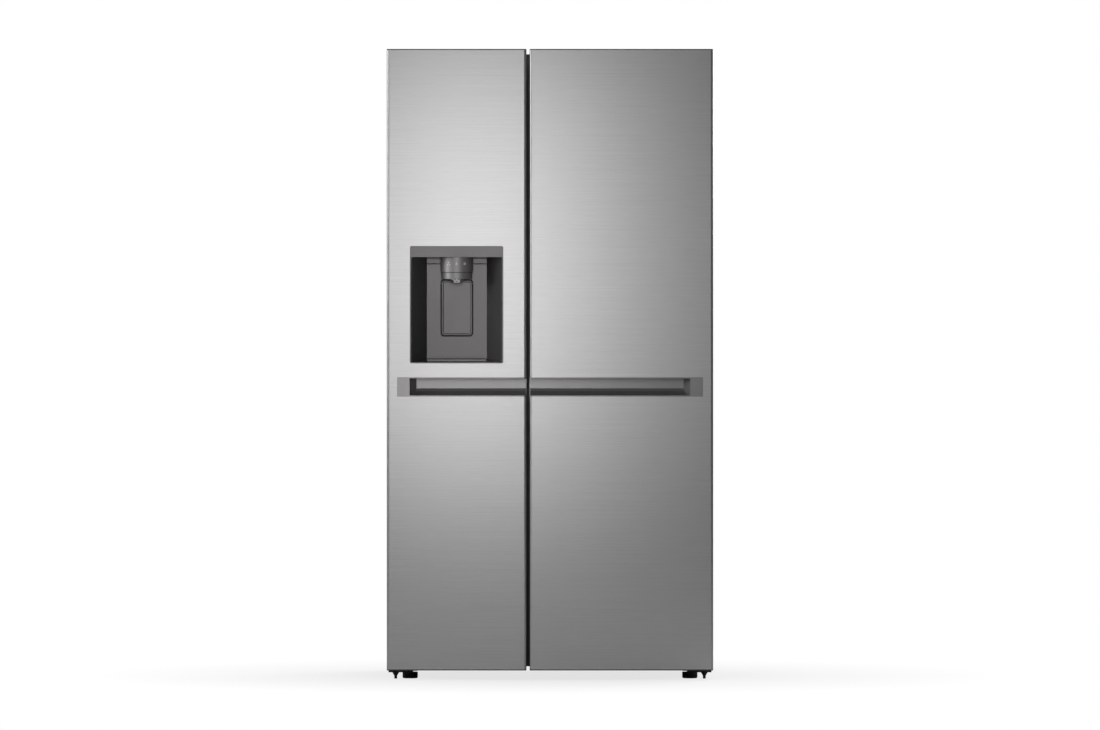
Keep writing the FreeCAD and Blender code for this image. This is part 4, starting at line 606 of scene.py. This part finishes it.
nozzle = piece("water_nozzle", shape, bright_chrome(), "freezer_door")
for face in nozzle.data.polygons:
    face.use_smooth = True
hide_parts("dispenser_nozzle")


# ---- Studio: a pale floor that keeps the shadow, a white surround, and soft lamps.

def studio_floor():
    material, tree, shader, place = start_material("studio_floor")
    paper = add(tree, "ShaderNodeTexNoise", {"Scale": 30.0, "Detail": 3.0}, {"Vector": place})
    tree.links.new(two_tones(tree, paper.outputs["Fac"], "#F2F2F2", "#F7F7F7"), shader.inputs["Base Color"])
    shader.inputs["Roughness"].default_value = 0.9
    ray = add(tree, "ShaderNodeLightPath").outputs["Is Camera Ray"]
    away = add(tree, "ShaderNodeVectorMath", {}, {0: place}, operation="LENGTH")
    fade = add(tree, "ShaderNodeMapRange", {"From Min": 0.35, "From Max": 1.3, "To Min": FLOOR_WASH, "To Max": 1.0},
               {"Value": away.outputs["Value"]})
    share = add(tree, "ShaderNodeMath", {}, {0: ray, 1: fade.outputs[0]}, operation="MULTIPLY")
    wash = add(tree, "ShaderNodeEmission", {"Color": (1, 1, 1, 1), "Strength": 1.0})
    both = add(tree, "ShaderNodeMixShader", {},
               {0: share.outputs[0], 1: shader.outputs[0], 2: wash.outputs[0]})
    tree.links.new(both.outputs[0], tree.nodes["Material Output"].inputs["Surface"])
    return material


FLOOR_WASH = 0.75        # share of plain white in what the camera sees of the floor by the feet
FLOOR_HALF = 1.6
shape = bmesh.new()
bmesh.ops.create_grid(shape, x_segments=2, y_segments=2, size=FLOOR_HALF)
mesh = bpy.data.meshes.new("floor")
shape.to_mesh(mesh)
shape.free()
floor = bpy.data.objects.new("floor", mesh)
bpy.context.collection.objects.link(floor)
mesh.materials.append(studio_floor())

world = bpy.data.worlds.new("studio")
scene.world = world
world.use_nodes = True
tree = world.node_tree
tree.nodes.clear()
path = add(tree, "ShaderNodeLightPath")
seen = add(tree, "ShaderNodeMath", {}, {0: path.outputs["Is Camera Ray"], 1: path.outputs["Is Transmission Ray"]},
           operation="MAXIMUM")
room = add(tree, "ShaderNodeBackground", {"Color": (1, 1, 1, 1), "Strength": 0.09})
white = add(tree, "ShaderNodeBackground", {"Color": (1, 1, 1, 1), "Strength": 1.0})
mix = add(tree, "ShaderNodeMixShader", {}, {0: seen.outputs[0], 1: room.outputs[0], 2: white.outputs[0]})
add(tree, "ShaderNodeOutputWorld", {}, {"Surface": mix.outputs[0]})


def lamp(name, place, aim, width, height, power):
    """A rectangular soft lamp pointing at a spot, unseen by the camera."""
    made = bpy.data.objects.new(name, bpy.data.lights.new(name, "AREA"))
    bpy.context.collection.objects.link(made)
    made.data.shape = "RECTANGLE"
    made.data.size = width
    made.data.size_y = height
    made.data.energy = power
    made.location = place
    made.rotation_euler = (Vector(aim) - Vector(place)).to_track_quat("-Z", "Y").to_euler()
    made.visible_camera = False
    return made


lamp("front_softbox", (-0.24, -2.4, 1.2), (-0.24, 0, 1.2), 0.42, 1.25, 7.2)
lamp("left_softbox", (-3.2, -1.4, 1.9), (0, 0, 1.1), 1.4, 1.8, 32.0)
lamp("top_softbox", (0.2, 0.6, 3.4), (0, 0.2, 1.0), 1.6, 1.6, 26.0)
lamp("rear_softbox", (2.2, 3.0, 2.4), (0, 0, 1.0), 2.0, 2.0, 80.0)
